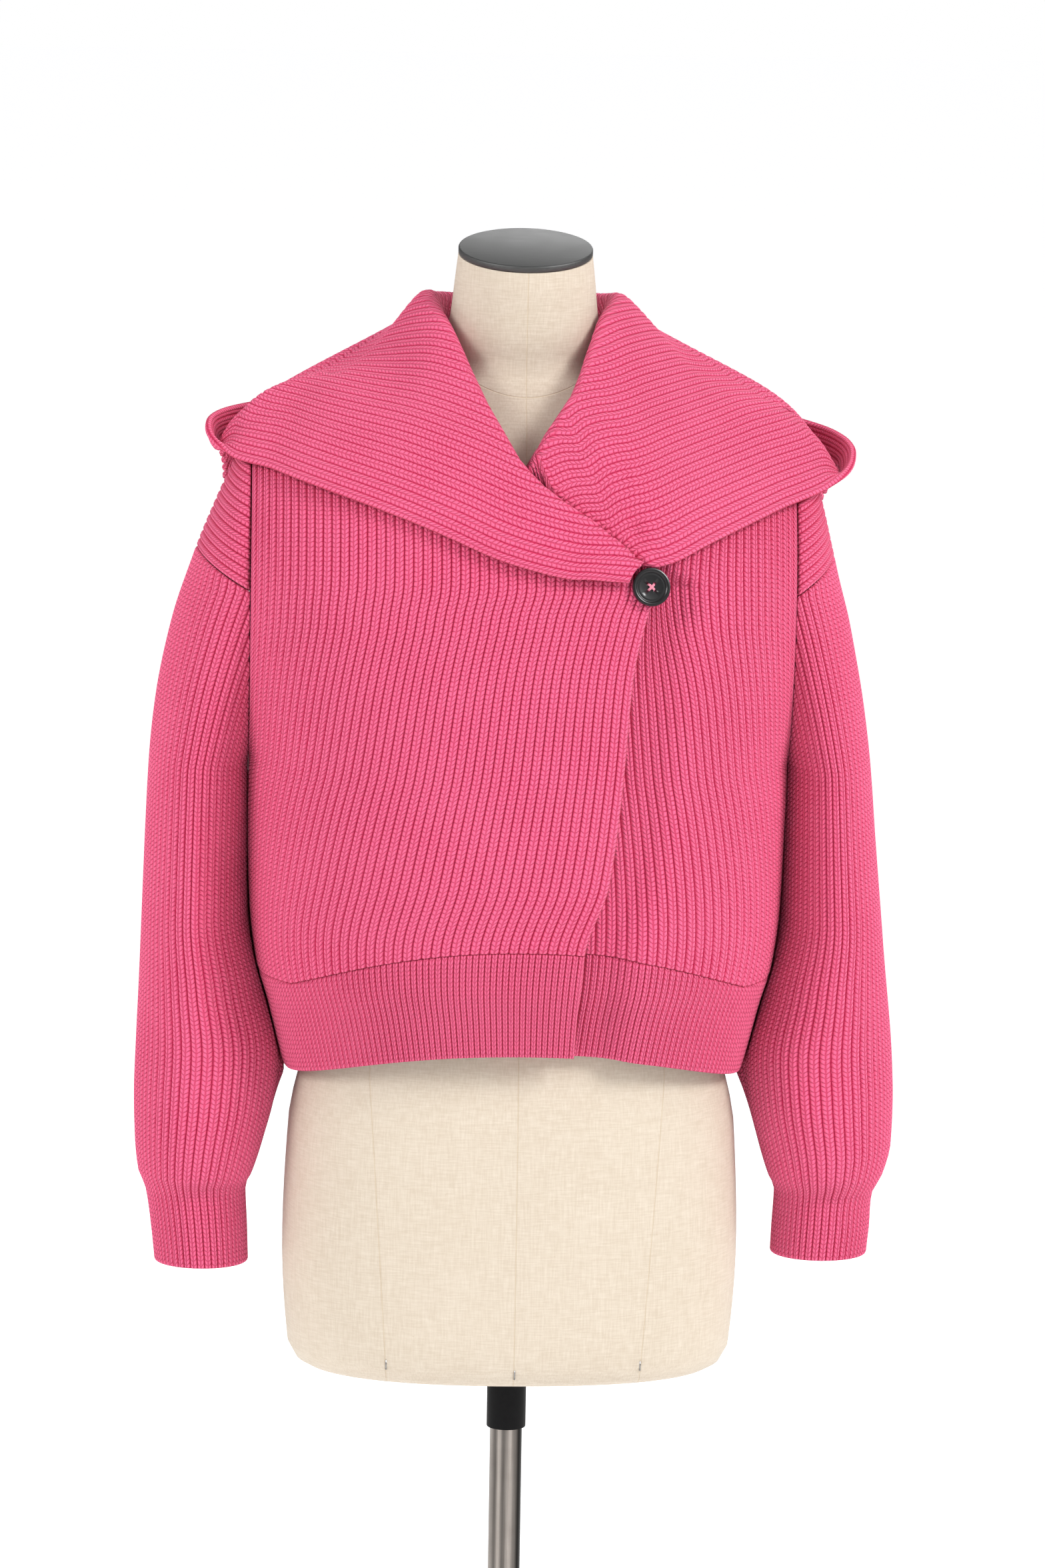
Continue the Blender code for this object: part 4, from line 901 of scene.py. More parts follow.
# %% [markdown]
# ## Hood
#
# The hood lies open. From its outer edge the cloth falls over the chest, runs up to a rolled crest
# round the neck, and turns down inside to the neck seam. Over the back the edge stands up and the
# cloth drops into a deep trough first. Each half is drawn as a row of cuts, from the front end round
# to the centre back, with seven points on each cut. Smooth curves through them give a fine sheet,
# which is then moved off the pieces that it lies on. Its ribs keep their distance from the edge, so
# they run out at the crest as on the real one.

# %% Hood tables
HOOD_BACK = (
    # edge, turn, low, high, crest, stand, seam
    ((162, 126, 750), (154, 130, 619), (143, 104, 700), (101, 88, 783),
     (15, 87, 827), (13, 73, 817), (14, 81, 790)),
    ((92, 153, 748), (87, 148, 584), (82, 128, 680), (56, 101, 781),
     (7.5, 88.5, 827), (6.5, 74.5, 817), (7, 83.5, 789.5)),
    ((0, 163, 747), (0, 154, 570), (0, 136, 680), (0, 109, 780),
     (0, 89, 827), (0, 75, 817), (0, 84.5, 789.5)),
)
HOOD_NECK = (
    # crest, stand, seam: round the side and the back of the neck both halves run alike
    ((76, 10, 836), (63, 4, 820), (69, -3, 797)),
    ((70, 38, 835), (58, 30, 819), (66, 24, 797)),
    ((60, 56, 833), (50, 44, 818.5), (57, 43, 796)),
    ((49, 68, 831), (42, 54, 818), (47, 58, 794)),
    ((41, 74, 830), (36, 60, 818), (40, 66, 793)),
    ((32, 80, 829), (28, 66, 817.5), (31, 72, 792)),
    ((23, 84, 828), (20, 70, 817), (22, 78.5, 791)),
)


def round_neck(*falls):
    """Whole cuts from their falling parts and the shared part round the neck."""
    return [fall + neck for fall, neck in zip(falls, HOOD_NECK)]


HOOD_RIGHT = (
    ((-75.2, -137, 637), (-75.4, -139, 640), (-77, -140, 644), (-80, -139, 648),
     (-85, -135, 652), (-82, -132, 649), (-75.5, -130, 639)),
    ((-48, -141.5, 640), (-50, -143, 647), (-53, -144.5, 655), (-57, -143.5, 664),
     (-60, -139, 669), (-58, -134.5, 665), (-54, -129, 649)),
    ((-25, -142, 641), (-28, -143.5, 652), (-33, -144, 665), (-38, -141, 677),
     (-41, -136, 684), (-39, -131, 679), (-34, -126, 659)),
    ((21, -138, 653), (16, -140, 668), (9, -138, 685), (3, -132, 701),
     (-1, -124.5, 712), (1, -120.5, 707), (5, -118, 684)),
    ((68, -129, 672), (60, -127, 693), (51, -119, 717), (42, -106, 742),
     (33, -91, 762), (34, -87, 757), (48, -95, 734)),
    ((114, -112, 688), (104, -103, 714), (93, -88, 745), (77, -65, 778),
     (60, -42, 813), (55, -37, 802), (62, -55, 775)),
    *round_neck(
        ((161, -86, 702), (150, -68, 733), (136, -38, 766), (107, -8, 792)),
        ((195, -56, 712), (184, -36, 742), (166, -4, 769), (124, 20, 787)),
        ((218, -41, 716), (210, -26, 735), (195, -4, 762), (140, 32, 782)),
        ((236, -20, 729), (227, -12, 722), (212, -2, 747), (154, 38, 780)),
        ((241, -2, 740), (231, 4, 722), (212, 8, 745), (154, 46, 778)),
        ((233, 28, 747.5), (227, 42, 714), (206, 30, 740), (150, 56, 777)),
        ((204, 84, 750), (217, 100, 666), (186, 70, 726), (135, 74, 778)),
    ),
    *HOOD_BACK,
)
HOOD_LEFT = (
    ((-1, -104, 703), (-1.5, -104, 704), (-2, -104, 706), (-3, -103, 708),
     (-4, -101.5, 710), (-3, -99, 709), (-2, -101, 705)),
    ((20, -117.5, 687), (18, -116.5, 692), (14, -112.5, 701), (9, -108, 711),
     (4, -103, 723), (8, -99, 718), (20, -105, 704)),
    ((52, -124, 664), (49, -123.5, 672), (43, -120, 690), (33, -113, 715),
     (20, -98, 747), (24, -92, 744), (40, -98, 729)),
    ((88, -123.5, 650), (81, -125, 664), (70, -124, 692), (56, -111, 729),
     (36, -85, 768), (39, -77, 763), (56, -82, 750)),
    ((106, -131, 651), (98, -130, 673), (86, -119, 707), (70, -93, 750),
     (50, -57, 797), (49, -49, 790), (62, -60, 768)),
    ((130, -121, 662), (121, -117, 686), (108, -98, 723), (90, -66, 767),
     (64, -28, 823), (56, -26, 812), (66, -36, 784)),
    *round_neck(
        ((166, -100, 677), (155, -87, 706), (140, -60, 743), (116, -24, 784)),
        ((198, -74, 689), (188, -56, 717), (172, -28, 753), (132, 6, 784)),
        ((224, -54, 697), (216, -40, 715), (203, -14, 746), (152, 22, 779)),
        ((245, -34, 708), (234, -26, 708), (219, -10, 735), (178, 28, 771)),
        ((255, -6, 720), (242, 0, 706), (222, 6, 733), (177, 40, 770)),
        ((253, 28, 731), (240, 42, 703), (218, 30, 732), (166, 56, 772)),
        ((230, 84, 739), (227, 102, 660), (198, 72, 720), (144, 74, 776)),
    ),
    *HOOD_BACK,
)
# How far from its edge each cut of the left half starts: its front end lies under the right half
LEFT_START = (85.0, 62.0, 30.0, 3.0) + (0.0,) * (len(HOOD_LEFT) - 4)
HOOD_STATIONS, FINE_STATIONS = 25, 97
PER_POINT = 12  # points of the fine sheet from one point of a cut to the next
SECTION_SAMPLES, CREST_SAMPLE = 6 * PER_POINT + 1, 4 * PER_POINT
NECK_SEAM = 1.4
RIB_RAISED = 1.5
LIFT, YOKE_LIFT = 0.7, 1.5  # gap over the ribs of the body, and the further gap over the yokes
CLEAR, NEAR = 1.6, 14.0  # least distance from a piece beneath, and how far away one is looked for
SETTLE_ROUNDS = 10  # how often the hood is moved off what it lies on

# %% Hood surface
def curve(points, where):
    """A smooth curve through points, read at parameters counted in points (Catmull-Rom)."""
    points = np.asarray(points, float)
    ends = np.concatenate([[2 * points[0] - points[1]], points, [2 * points[-1] - points[-2]]])
    where = np.clip(where, 0, len(points) - 1 - 1e-9)
    i = where.astype(int)
    t = (where - i).reshape((-1,) + (1,) * (points.ndim - 1))
    a, b, c, d = ends[i], ends[i + 1], ends[i + 2], ends[i + 3]
    bend, twist = 2 * a - 5 * b + 4 * c - d, 3 * b - a - 3 * c + d
    return 0.5 * (2 * b + (c - a) * t + bend * t**2 + twist * t**3)


def with_mirror(rows):
    """Adds the mirror image of the last row but one, so that the centre back has no kink."""
    return np.concatenate([rows, [rows[-2] * np.array([-1.0, 1.0, 1.0])]])


def neckline_x(z):
    return -np.interp(-z, [-height for _, height in FRONT_NECK], [x for x, _ in FRONT_NECK])


def seam_points(points):
    """Puts the hood's neck seam on the top edge of the fronts and the back."""
    x, y, z = points.T
    in_front = ((y < SIDE_Y) & (z < NECK_Z))[:, None]
    front_x = neckline_x(z)
    front_y = SIDE_Y - torso_depth(front_x, z, 2) + WALL
    at_front = np.stack([front_x - NECK_SEAM, front_y, z + NECK_SEAM], axis=1)
    level = back_top_z(x)
    behind_y = np.maximum(SIDE_Y + torso_depth(x, level, 3) - WALL, y)
    at_back = np.stack([x, behind_y, level + NECK_SEAM], axis=1)
    at_side = points + np.array([0, 0, NECK_SEAM])
    return np.where(in_front, at_front, np.where((y > 40)[:, None], at_back, at_side))


def section_normals(fine, sign):
    normals = unit(np.cross(np.gradient(fine, axis=0), np.gradient(fine, axis=1)) * -sign)
    normals[-1, :, 0] = 0
    return unit(normals)


def tree_of(names):
    points, faces = [], []
    for name in names:
        mesh = frame["nodes"][name].data
        start = len(points)
        points.extend(tuple(v.co) for v in mesh.vertices)
        faces.extend([start + i for i in face.vertices] for face in mesh.polygons)
    return BVHTree.FromPolygons(points, faces)


def needed_shift(tree, point):
    """How far, and which way, a point has to move to lie clear of everything in the tree."""
    place = point * MM + RAISED
    location, normal, _, distance = tree.find_nearest(place.tolist())
    if location is None or distance > NEAR * MM:
        return np.zeros(3)
    height = float(np.dot(place - np.array(location), np.array(normal))) / MM
    if height >= CLEAR or (height > 0 and distance / MM >= CLEAR):
        return np.zeros(3)
    return (CLEAR - height) * np.array(normal)


def yoke_reach(x, z):
    """How far out the yoke on the side of x reaches."""
    return smooth_read(YOKE, z, 1) + np.where(x > 0, lean(z, "left"), 0)


def covered_depth(x, z, side):
    """Distance from the side-seam plane to the face of the panel or yoke under the hood."""
    across = np.abs(x)
    on_panel = torso_depth(np.minimum(across, ARMHOLE_X), z, side)
    beyond = np.clip((across - ARMHOLE_X) / (yoke_reach(x, z) - ARMHOLE_X), 0, 1)
    return np.where(across < ARMHOLE_X, on_panel, yoke_depth(z) * np.sqrt(1 - beyond**2))


def lift_off_body(fine, sign):
    """Moves the falling part of the hood out of the body and yokes, straight ahead or straight back."""
    fall = np.arange(SECTION_SAMPLES) < CREST_SAMPLE
    x, y, z = fine[..., 0], fine[..., 1], fine[..., 2]
    ahead, behind = covered_depth(x, z, 2), covered_depth(x, z, 3)
    sunk = lapped_sink(x, z) * (sign > 0)
    gap = WALL + RIB_RAISED + LIFT
    moved = np.where((y < SIDE_Y) & (ahead > 1), np.minimum(y, SIDE_Y - ahead + sunk - gap), y)
    moved = np.where((y >= SIDE_Y) & (behind > 1), np.maximum(moved, SIDE_Y + behind + gap), moved)
    fine[..., 1] = np.where(fall, moved, y)
    y = fine[..., 1]
    gap = gap + YOKE_LIFT
    reach = yoke_depth(z) + gap
    width = yoke_reach(x, z) - ARMHOLE_X + gap
    across = np.maximum(np.abs(x) - ARMHOLE_X, 0)
    ratio = np.maximum(np.hypot(across / width, (y - SIDE_Y) / reach), 0.5)
    push = fall & (across > 0) & (ratio < 1) & (z < SHOULDER_TIP_Z)
    fine[..., 0] = np.where(push, np.sign(x) * (ARMHOLE_X + across / ratio), x)
    fine[..., 1] = np.where(push, SIDE_Y + (y - SIDE_Y) / ratio, y)


def lay_clear(fine, sign, tree):
    """Moves the hood off what it lies on, with the moves spread to their neighbours. Its seam stays."""
    held = np.clip((SECTION_SAMPLES - 1 - np.arange(SECTION_SAMPLES)) / 10, 0, 1)[None, :, None]
    for _ in range(SETTLE_ROUNDS):
        lift_off_body(fine, sign)
        normals = section_normals(fine, sign)
        shift = np.zeros_like(fine)
        for j in range(fine.shape[0]):
            for i in range(fine.shape[1] - 3):
                for point in (fine[j, i], fine[j, i] - WALL * normals[j, i]):
                    move = needed_shift(tree, point)
                    if np.dot(move, move) > np.dot(shift[j, i], shift[j, i]):
                        shift[j, i] = move
        padded = np.pad(shift, ((1, 1), (3, 3), (0, 0)), mode="edge")
        along = sum(padded[:, k : k + fine.shape[1]] for k in range(7)) / 7
        spread = (along[:-2] + 2 * along[1:-1] + along[2:]) / 4
        fine = fine + (0.5 * shift + 0.5 * spread) * held
    return fine

# %% Knitting the hood
HOOD_PITCH = 7.0
STAND_STEP = 2.4  # distance between points below the crest, on the part that stands inside it


def edge_steps(stations):
    """Even places along a half hood, closer at both ends, where the edge of the knit turns over."""
    last = len(stations) - 1
    first_gap = np.linalg.norm(stations[1] - stations[0], axis=1).mean()
    last_gap = np.linalg.norm(stations[-1] - stations[-2], axis=1).mean()
    close = np.array([*EDGE_STEPS, EDGE_ROUND])
    even = np.linspace(0, last, FINE_STATIONS)
    return np.sort(np.concatenate([even, close / first_gap, last - close / last_gap]))


def settled_sheet(table, sign, lies_on):
    """Half the hood as a smooth sheet that lies clear of what is under it."""
    stations = curve(with_mirror(np.array(table, float)), np.linspace(0, len(table) - 1, HOOD_STATIONS))
    stations[:, -1] = seam_points(stations[:, -1])
    coarse = np.array([curve(station, np.linspace(0, 6, SECTION_SAMPLES)) for station in stations])
    coarse[..., 0] *= sign
    return lay_clear(coarse, sign, tree_of(lies_on))


def hood_half(name, table, starts, sign, lies_on):
    coarse = settled_sheet(table, sign, lies_on)
    steps = edge_steps(coarse)
    fine = curve(with_mirror(coarse), steps)
    normals = section_normals(fine, sign)
    start_at = curve(np.array(starts)[:, None], steps * (len(table) - 1) / (HOOD_STATIONS - 1))[:, 0]
    lengths = travelled(fine, 1)
    most_fall = float((lengths[:, CREST_SAMPLE] + start_at).max())
    most_stand = float((lengths[:, -1] - lengths[:, CREST_SAMPLE]).max())
    columns = np.arange(int(math.ceil(most_fall / HOOD_PITCH)) * PER_RIB + 1) * HOOD_PITCH / PER_RIB
    down = np.linspace(0, 1, int(most_stand / STAND_STEP))[1:]
    down = np.sort(np.concatenate([down, 1 - np.array(EDGE_STEPS) / most_stand]))
    grid, faces, rib, near = [], [], [], []
    for j in range(len(steps)):
        length, crest, whole = lengths[j], lengths[j, CREST_SAMPLE], lengths[j, -1]
        fall = np.clip(columns - start_at[j], 0, crest)
        place = np.concatenate([fall, crest + (whole - crest) * down])
        grid.append(np.stack([np.interp(place, length, fine[j, :, k]) for k in range(3)], axis=1))
        faces.append(np.stack([np.interp(place, length, normals[j, :, k]) for k in range(3)], axis=1))
        rib.append((place + start_at[j]) / HOOD_PITCH)
        near.append(np.minimum(place, whole - place))
    grid, near, normals = np.array(grid), np.array(near), unit(np.array(faces))
    row = travelled(grid[::-1], 0)[::-1]
    near = np.minimum(near, np.minimum(row, row[:1] - row))

    def fit(points):
        points[-1, :, 0] = sign * SEAM / 2

    knit = Knit()
    knit.layer(grid, np.array(rib), row / STITCH, normals, fit=fit, edges=near)
    return knit.build(name)


UNDER_HOOD = ["form_body", "front_right", "front_left", "back"]
UNDER_HOOD += ["yoke_right", "yoke_left", "sleeve_right", "sleeve_left"]
RIGHT_START = (0.0,) * len(HOOD_RIGHT)
hood_left = hood_half("hood_left", HOOD_LEFT, LEFT_START, 1.0, UNDER_HOOD)
hood_right = hood_half("hood_right", HOOD_RIGHT, RIGHT_START, -1.0, UNDER_HOOD + ["hood_left"])

# %% [markdown]
# ## Linen
#
# The form is covered in plain cream linen, cut in long panels. Their seams run from the neck to the
# hem, one more goes round the base of the neck, and a staple holds each seam at the foot. The seams
# are pressed flat, so the linen material draws them from the piece's own coordinates: a fine dark line
# in a slight furrow.

# %% Linen material
SEAM_LINE, PRINCESS_TOP = 0.0004, 1.40  # in metres, as the material reads them
NECK_SEAM_MID, NECK_SEAM_RISE = 0.771 + DATUM * MM, 0.0075
NECK_SEAM_BOW, NECK_SEAM_SLOPE = NECK_SEAM_RISE / 0.0025 * 2.3, 0.20
THREADS_PER_METRE = 1400.0
LINEN_PALE, LINEN_DEEP = (0.645, 0.57, 0.470, 1), (0.55, 0.465, 0.365, 1)
LINEN_WORN, LINEN_SPECK = (0.68, 0.605, 0.515, 1), (0.47, 0.36, 0.24, 1)
LINEN_LINE = (0.56, 0.43, 0.28, 1)


def weave_group():
    """Plain weave from two sets of threads, with thick and thin places as linen yarn has."""
    tree, given, out = group(
        "plain weave",
        [("Place", "Vector"), ("Threads per metre", "Float")],
        [("Height", "Float"), ("Slub", "Float")],
    )
    n = Nodes(tree)
    parts = n.add("SeparateXYZ", Vector=given.outputs["Place"])
    round_form = n.math("ARCTAN2", parts.outputs["Y"], parts.outputs["X"])
    across = n.times(n.times(round_form, 0.13), given.outputs["Threads per metre"])
    up = n.times(parts.outputs["Z"], given.outputs["Threads per metre"])
    warp = n.math("SINE", n.times(across, math.tau))
    weft = n.math("SINE", n.times(up, math.tau))
    woven = n.times(warp, weft)
    long_ways = n.add("Mapping", Vector=given.outputs["Place"], Scale=(1.0, 1.0, 0.08))
    cross_ways = n.add("Mapping", Vector=given.outputs["Place"], Scale=(0.1, 0.1, 1.0))
    slub = n.plus(*(n.noise(ways.outputs[0], 900.0, 3.0) for ways in (long_ways, cross_ways)))
    tree.links.new(n.plus(n.times(woven, 0.5), slub), out.inputs["Height"])
    tree.links.new(n.times(slub, 0.5), out.inputs["Slub"])
    return tree


WEAVE = weave_group()


def linen(name):
    """Cream linen with its seams: one down the middle, two long curved ones and one round the neck."""
    made, shader = principled(name, Roughness=0.88, Specular_IOR_Level=0.25, Sheen_Weight=0.1)
    n = Nodes(made.node_tree)
    place = n.add("TexCoord").outputs["Object"]
    parts = n.add("SeparateXYZ", Vector=place)
    x, y, z = (parts.outputs[axis] for axis in "XYZ")
    weave = use_group(n, WEAVE, Place=place, Threads_per_metre=THREADS_PER_METRE)
    aside = n.math("ABSOLUTE", x)
    panel_x = n.ramp(z, 0.096, 0.112, 0.68, 0.92)
    middle = n.math("DIVIDE", aside, SEAM_LINE)
    princess = n.math("DIVIDE", n.math("ABSOLUTE", n.minus(aside, panel_x)), SEAM_LINE)
    princess = n.plus(princess, n.times(n.math("GREATER_THAN", z, PRINCESS_TOP), 50.0))
    level = n.plus(NECK_SEAM_MID, n.times(n.times(x, x), NECK_SEAM_BOW))
    level = n.plus(level, n.times(n.math("MAXIMUM", y, -0.02), NECK_SEAM_SLOPE))
    round_neck = n.math("DIVIDE", n.math("ABSOLUTE", n.minus(z, level)), SEAM_LINE)
    nearest = n.math("MINIMUM", n.math("MINIMUM", middle, princess), round_neck)
    line = n.ramp(nearest, 1.0, 0.0, 0.3, 1.6)
    pressed = n.ramp(nearest, 1.0, 0.0, 0.0, 9.0)
    colour = n.mix(n.ramp(weave.outputs["Slub"], 0.0, 1.0, 0.38, 0.68), LINEN_DEEP, LINEN_PALE)
    colour = n.mix(n.ramp(n.noise(place, 9.0, 3.0), 0.0, 0.18, 0.40, 0.80), colour, LINEN_WORN)
    colour = n.mix(n.times(line, 0.42), colour, LINEN_LINE)
    colour = n.mix(n.ramp(n.noise(place, 420.0, 1.0), 0.0, 0.5, 0.78, 0.84), colour, LINEN_SPECK)
    height = n.minus(n.times(weave.outputs["Height"], 0.35), n.times(line, 1.6))
    height = n.plus(height, n.times(pressed, 0.5))
    bump = n.add("Bump", Strength=0.55, Distance=0.0004, Height=height)
    n.feed(shader.inputs["Base Color"], colour)
    n.feed(shader.inputs["Normal"], bump.outputs["Normal"])
    return made


LINEN = linen("cream linen")
print("linen:", len(LINEN.node_tree.nodes), "nodes")

# %% [markdown]
# ## Metal, plastic and thread
#
# The neck cap is a plate of steel, brushed one way. The pole is ground along its length, and its colour
# carries painted reflections: long soft bands of the dark and pale walls of a studio. One group gives
# the grain of every metal: noise that is stretched along one direction. The button is polished black
# plastic, and the collar is satin black. The same group, not stretched, makes the gloss of both plastics
# a little uneven.

# %% Metal and plastic
INK, SOOT = (0.004, 0.004, 0.0045, 1), (0.010, 0.010, 0.011, 1)


def grain_group():
    """Noise drawn out along one direction, and a mix of it with soft clouds."""
    tree, given, out = group(
        "brushed grain",
        [("Place", "Vector"), ("Stretch", "Vector"), ("Scale", "Float")],
        [("Height", "Float"), ("Streak", "Float")],
    )
    n = Nodes(tree)
    drawn = n.add("Mapping", Vector=given.outputs["Place"], Scale=given.outputs["Stretch"]).outputs[0]
    fine = n.noise(drawn, given.outputs["Scale"], 4.0)
    cloud = n.noise(given.outputs["Place"], 35.0, 3.0)
    tree.links.new(fine, out.inputs["Height"])
    mixed = n.plus(n.times(fine, 0.6), n.times(cloud, 0.4))
    tree.links.new(mixed, out.inputs["Streak"])
    return tree


GRAIN = grain_group()


def painted_reflection_bands(n, table):
    """Painted reflections: soft upright bands round a post, by the way its face looks, of the dark and
    pale walls of a studio.
    """
    face = n.add("TexCoord").outputs["Normal"]
    across = n.add("SeparateXYZ", Vector=face).outputs["X"]
    node = n.add("ValToRGB", Fac=n.ramp(across, 0, 1, -1.0, 1.0))
    node.color_ramp.interpolation = "EASE"
    for k, (place, level) in enumerate(table):
        element = node.color_ramp.elements[k] if k < 2 else node.color_ramp.elements.new(place)
        element.position, element.color = place, (level, level, level, 1)
    return node.outputs["Color"]


def metal(name, dark, pale, stretch, rough, table=None):
    made, shader = principled(name, Metallic=1.0)
    n = Nodes(made.node_tree)
    place = n.add("TexCoord").outputs["Object"]
    grain = use_group(n, GRAIN, Place=place, Stretch=stretch, Scale=900.0)
    colour = n.mix(n.ramp(grain.outputs["Streak"], 0, 1, 0.35, 0.65), dark, pale)
    if table:
        # Painted reflections: the colour is darkened in upright bands by the way the face looks
        colour = n.mix(painted_reflection_bands(n, table), (0, 0, 0, 1), colour)
    n.feed(shader.inputs["Base Color"], colour)
    streaked = n.ramp(grain.outputs["Streak"], rough - 0.06, rough + 0.1, 0.3, 0.7)
    n.feed(shader.inputs["Roughness"], streaked)
    bump = n.add("Bump", Strength=0.25, Distance=0.0001, Height=grain.outputs["Height"])
    n.feed(shader.inputs["Normal"], bump.outputs["Normal"])
    return made


def plastic(name, rough, coat, shine=0.5):
    made, shader = principled(name, Specular_IOR_Level=shine, Coat_Weight=coat, Coat_Roughness=0.15)
    n = Nodes(made.node_tree)
    place = n.add("TexCoord").outputs["Object"]
    grain = use_group(n, GRAIN, Place=place, Stretch=(1.0, 1.0, 1.0), Scale=300.0)
    n.feed(shader.inputs["Base Color"], n.mix(grain.outputs["Streak"], INK, SOOT))
    streaked = n.ramp(grain.outputs["Streak"], rough - 0.05, rough + 0.05, 0.2, 0.8)
    n.feed(shader.inputs["Roughness"], streaked)
    return made


CAP_DARK, CAP_PALE = (0.125, 0.127, 0.126, 1), (0.185, 0.186, 0.184, 1)
POLE_DARK, POLE_PALE = (0.46, 0.41, 0.375, 1), (0.72, 0.66, 0.61, 1)
BASE_DARK, BASE_PALE = (0.17, 0.155, 0.14, 1), (0.30, 0.28, 0.26, 1)
WIRE_DARK, WIRE_PALE = (0.45, 0.45, 0.45, 1), (0.7, 0.7, 0.7, 1)
ALONG_X, ALONG_Z, WIRE_GRAIN = (0.05, 1.0, 1.0), (1.0, 1.0, 0.02), (1.0, 1.0, 0.05)
# Painted reflections of the studio walls on the pole, as bands
POLE_PAINTED_REFLECTIONS = (
    # place across the pole from left to right, level of the painted reflection
    (0.02, 0.80), (0.16, 0.34), (0.27, 1.00), (0.40, 0.34),
    (0.62, 1.00), (0.76, 0.42), (0.90, 0.03), (0.99, 0.02),
)
CAP_STEEL = metal("brushed cap steel", CAP_DARK, CAP_PALE, ALONG_X, 0.58)
POLE_STEEL = metal("ground pole steel", POLE_DARK, POLE_PALE, ALONG_Z, 0.20, POLE_PAINTED_REFLECTIONS)
BASE_STEEL = metal("brushed base steel", BASE_DARK, BASE_PALE, ALONG_Z, 0.24)
STAPLE_STEEL = metal("staple wire", WIRE_DARK, WIRE_PALE, WIRE_GRAIN, 0.3)
BLACK = plastic("black plastic", 0.35, 0.4)
SATIN_BLACK = plastic("satin black plastic", 0.45, 0.0, 0.12)
THREAD_PINK, THREAD_TWIST = (0.93, 0.33, 0.44, 1), 900.0


def thread_material(name, colour, twist):
    """Plied thread: bands of painted shade wind round it, in the grooves between the plies."""
    made, shader = principled(name, Roughness=0.8)
    n = Nodes(made.node_tree)
    place = n.add("TexCoord").outputs["Object"]
    ply = n.add("TexWave", Scale=twist, Distortion=1.0)
    n.feed(ply.inputs["Vector"], place)
    # Painted shade in the grooves between the plies
    shade = n.mix(ply.outputs["Fac"], tuple(0.6 * c for c in colour[:3]) + (1,), colour)
    n.feed(shader.inputs["Base Color"], shade)
    bump = n.add("Bump", Strength=0.6, Distance=0.0002, Height=ply.outputs["Fac"])
    n.feed(shader.inputs["Normal"], bump.outputs["Normal"])
    return made


THREAD = thread_material("pink thread", THREAD_PINK, THREAD_TWIST)

# %% [markdown]
# ## Form, neck cap and stand
#
# The form is a limbless body under its linen. It could be sculpted, but a loft through level rings
# keeps the outline right at every height, so that is how it's made. Each ring is a little fuller
# than an ellipse, and under the shoulders it stays inside the cardigan. The cap is a thin plate that
# lies tilted on the neck. The collar, the pole and the base with its hub are turned: rings about one
# axis, with small rounded edges that catch the light.

# %% Sizes of the form and the stand
FORM = (
    # height, half_width, front, back, centre_y
    (15, 158, 98, 98, 0),
    (19, 165, 104, 104, 0),
    (30, 171, 109, 109, 0),
    (110, 176, 112, 118, 0),
    (205, 172, 110, 113, 0),
    (240, 165, 107, 106, 0),
    (280, 153, 101, 97, 0),
    (385, 125, 92, 84, 0),
    (500, 141, 112, 96, 0),
    (550, 149, 118, 101, 0),
    (650, 166, 103, 104, 0),
    (695, 176, 90, 98, 3),
    (722, 182, 80, 90, 5),
)
FORM_SHOULDER = (
    # half_width, front, back, drop
    (176, 70, 84, 0),
    (158, 66, 80, 0),
    (134, 62, 75, 0),
    (110, 58, 70, 0),
    (90, 55, 66, 0.8),
    (75, 53, 60, 3.6),
)
FORM_NECK = (
    # height, half_width, front, back, centre_y
    (794, 57.0, 53, 54.5, 5),
    (810, 58, 54, 56, 3),
    (830, 55.5, 53.5, 54.5, 0),
    (850, 53.5, 52.5, 52.5, -4),
)
REST_GAP, FORM_ROOM = 0.7, 12.0
NECK_TOP_Z, NECK_TILT = 872.0, math.radians(13)
CAP_RADIUS, CAP_THICK, CAP_CENTRE_Y = 51.0, 5.0, -7.0
POLE_RADIUS, SOCKET_DEPTH, SOCKET_CLEAR = 12.5, 120.0, 0.4
COLLAR_RADIUS, COLLAR_HEIGHT = 15.2, 55.0
BASE_RADIUS, BASE_THICK = 180.0, 8.0
HUB_RADIUS, HUB_HEIGHT = 22.0, 40.0
ROUND_STEPS = 128
SHARP_ANGLE = math.radians(40)

# %% Lofted and turned solids
def ring(radius, z, count=ROUND_STEPS):
    """A level circle of points round the pole's axis."""
    turn = np.linspace(0, math.tau, count, endpoint=False)
    return np.stack([radius * np.cos(turn), radius * np.sin(turn), np.full(count, float(z))], axis=1)


def lofted(name, rings, material, join=False):
    """A closed solid through rings: its ends are capped, or the last ring joins the first."""
    rings = np.array(rings)
    count = rings.shape[1]
    points = (rings.reshape(-1, 3) * MM + RAISED).tolist()
    index = np.arange(len(points)).reshape(len(rings), count)
    rows = list(zip(index, index[1:])) + ([(index[-1], index[0])] if join else [])
    faces = []
    for low, high in rows:
        for i in range(count):
            k = (i + 1) % count
            faces.append((int(low[i]), int(low[k]), int(high[k]), int(high[i])))
    if not join:
        for chain in (index[0][::-1], index[-1]):
            tip = len(points)
            points.append(np.mean([points[i] for i in chain], axis=0).tolist())
            faces.extend((int(chain[i]), int(chain[(i + 1) % count]), tip) for i in range(count))
    mesh = bpy.data.meshes.new(name)
    mesh.from_pydata(points, [], faces)
    face_out(mesh)
    mesh.set_sharp_from_angle(angle=SHARP_ANGLE)
    mesh.materials.append(material)
    return placed(name, mesh)


def turned(name, profile, material, join=False, count=ROUND_STEPS):
    return lofted(name, [ring(radius, z, count) for radius, z in profile], material, join)

# %% Form and cap
FORM_POWER = 2.35  # the form's level cuts are a little fuller than an ellipse
NECK_CUTS_FROM = 760  # from this height on they are ellipses


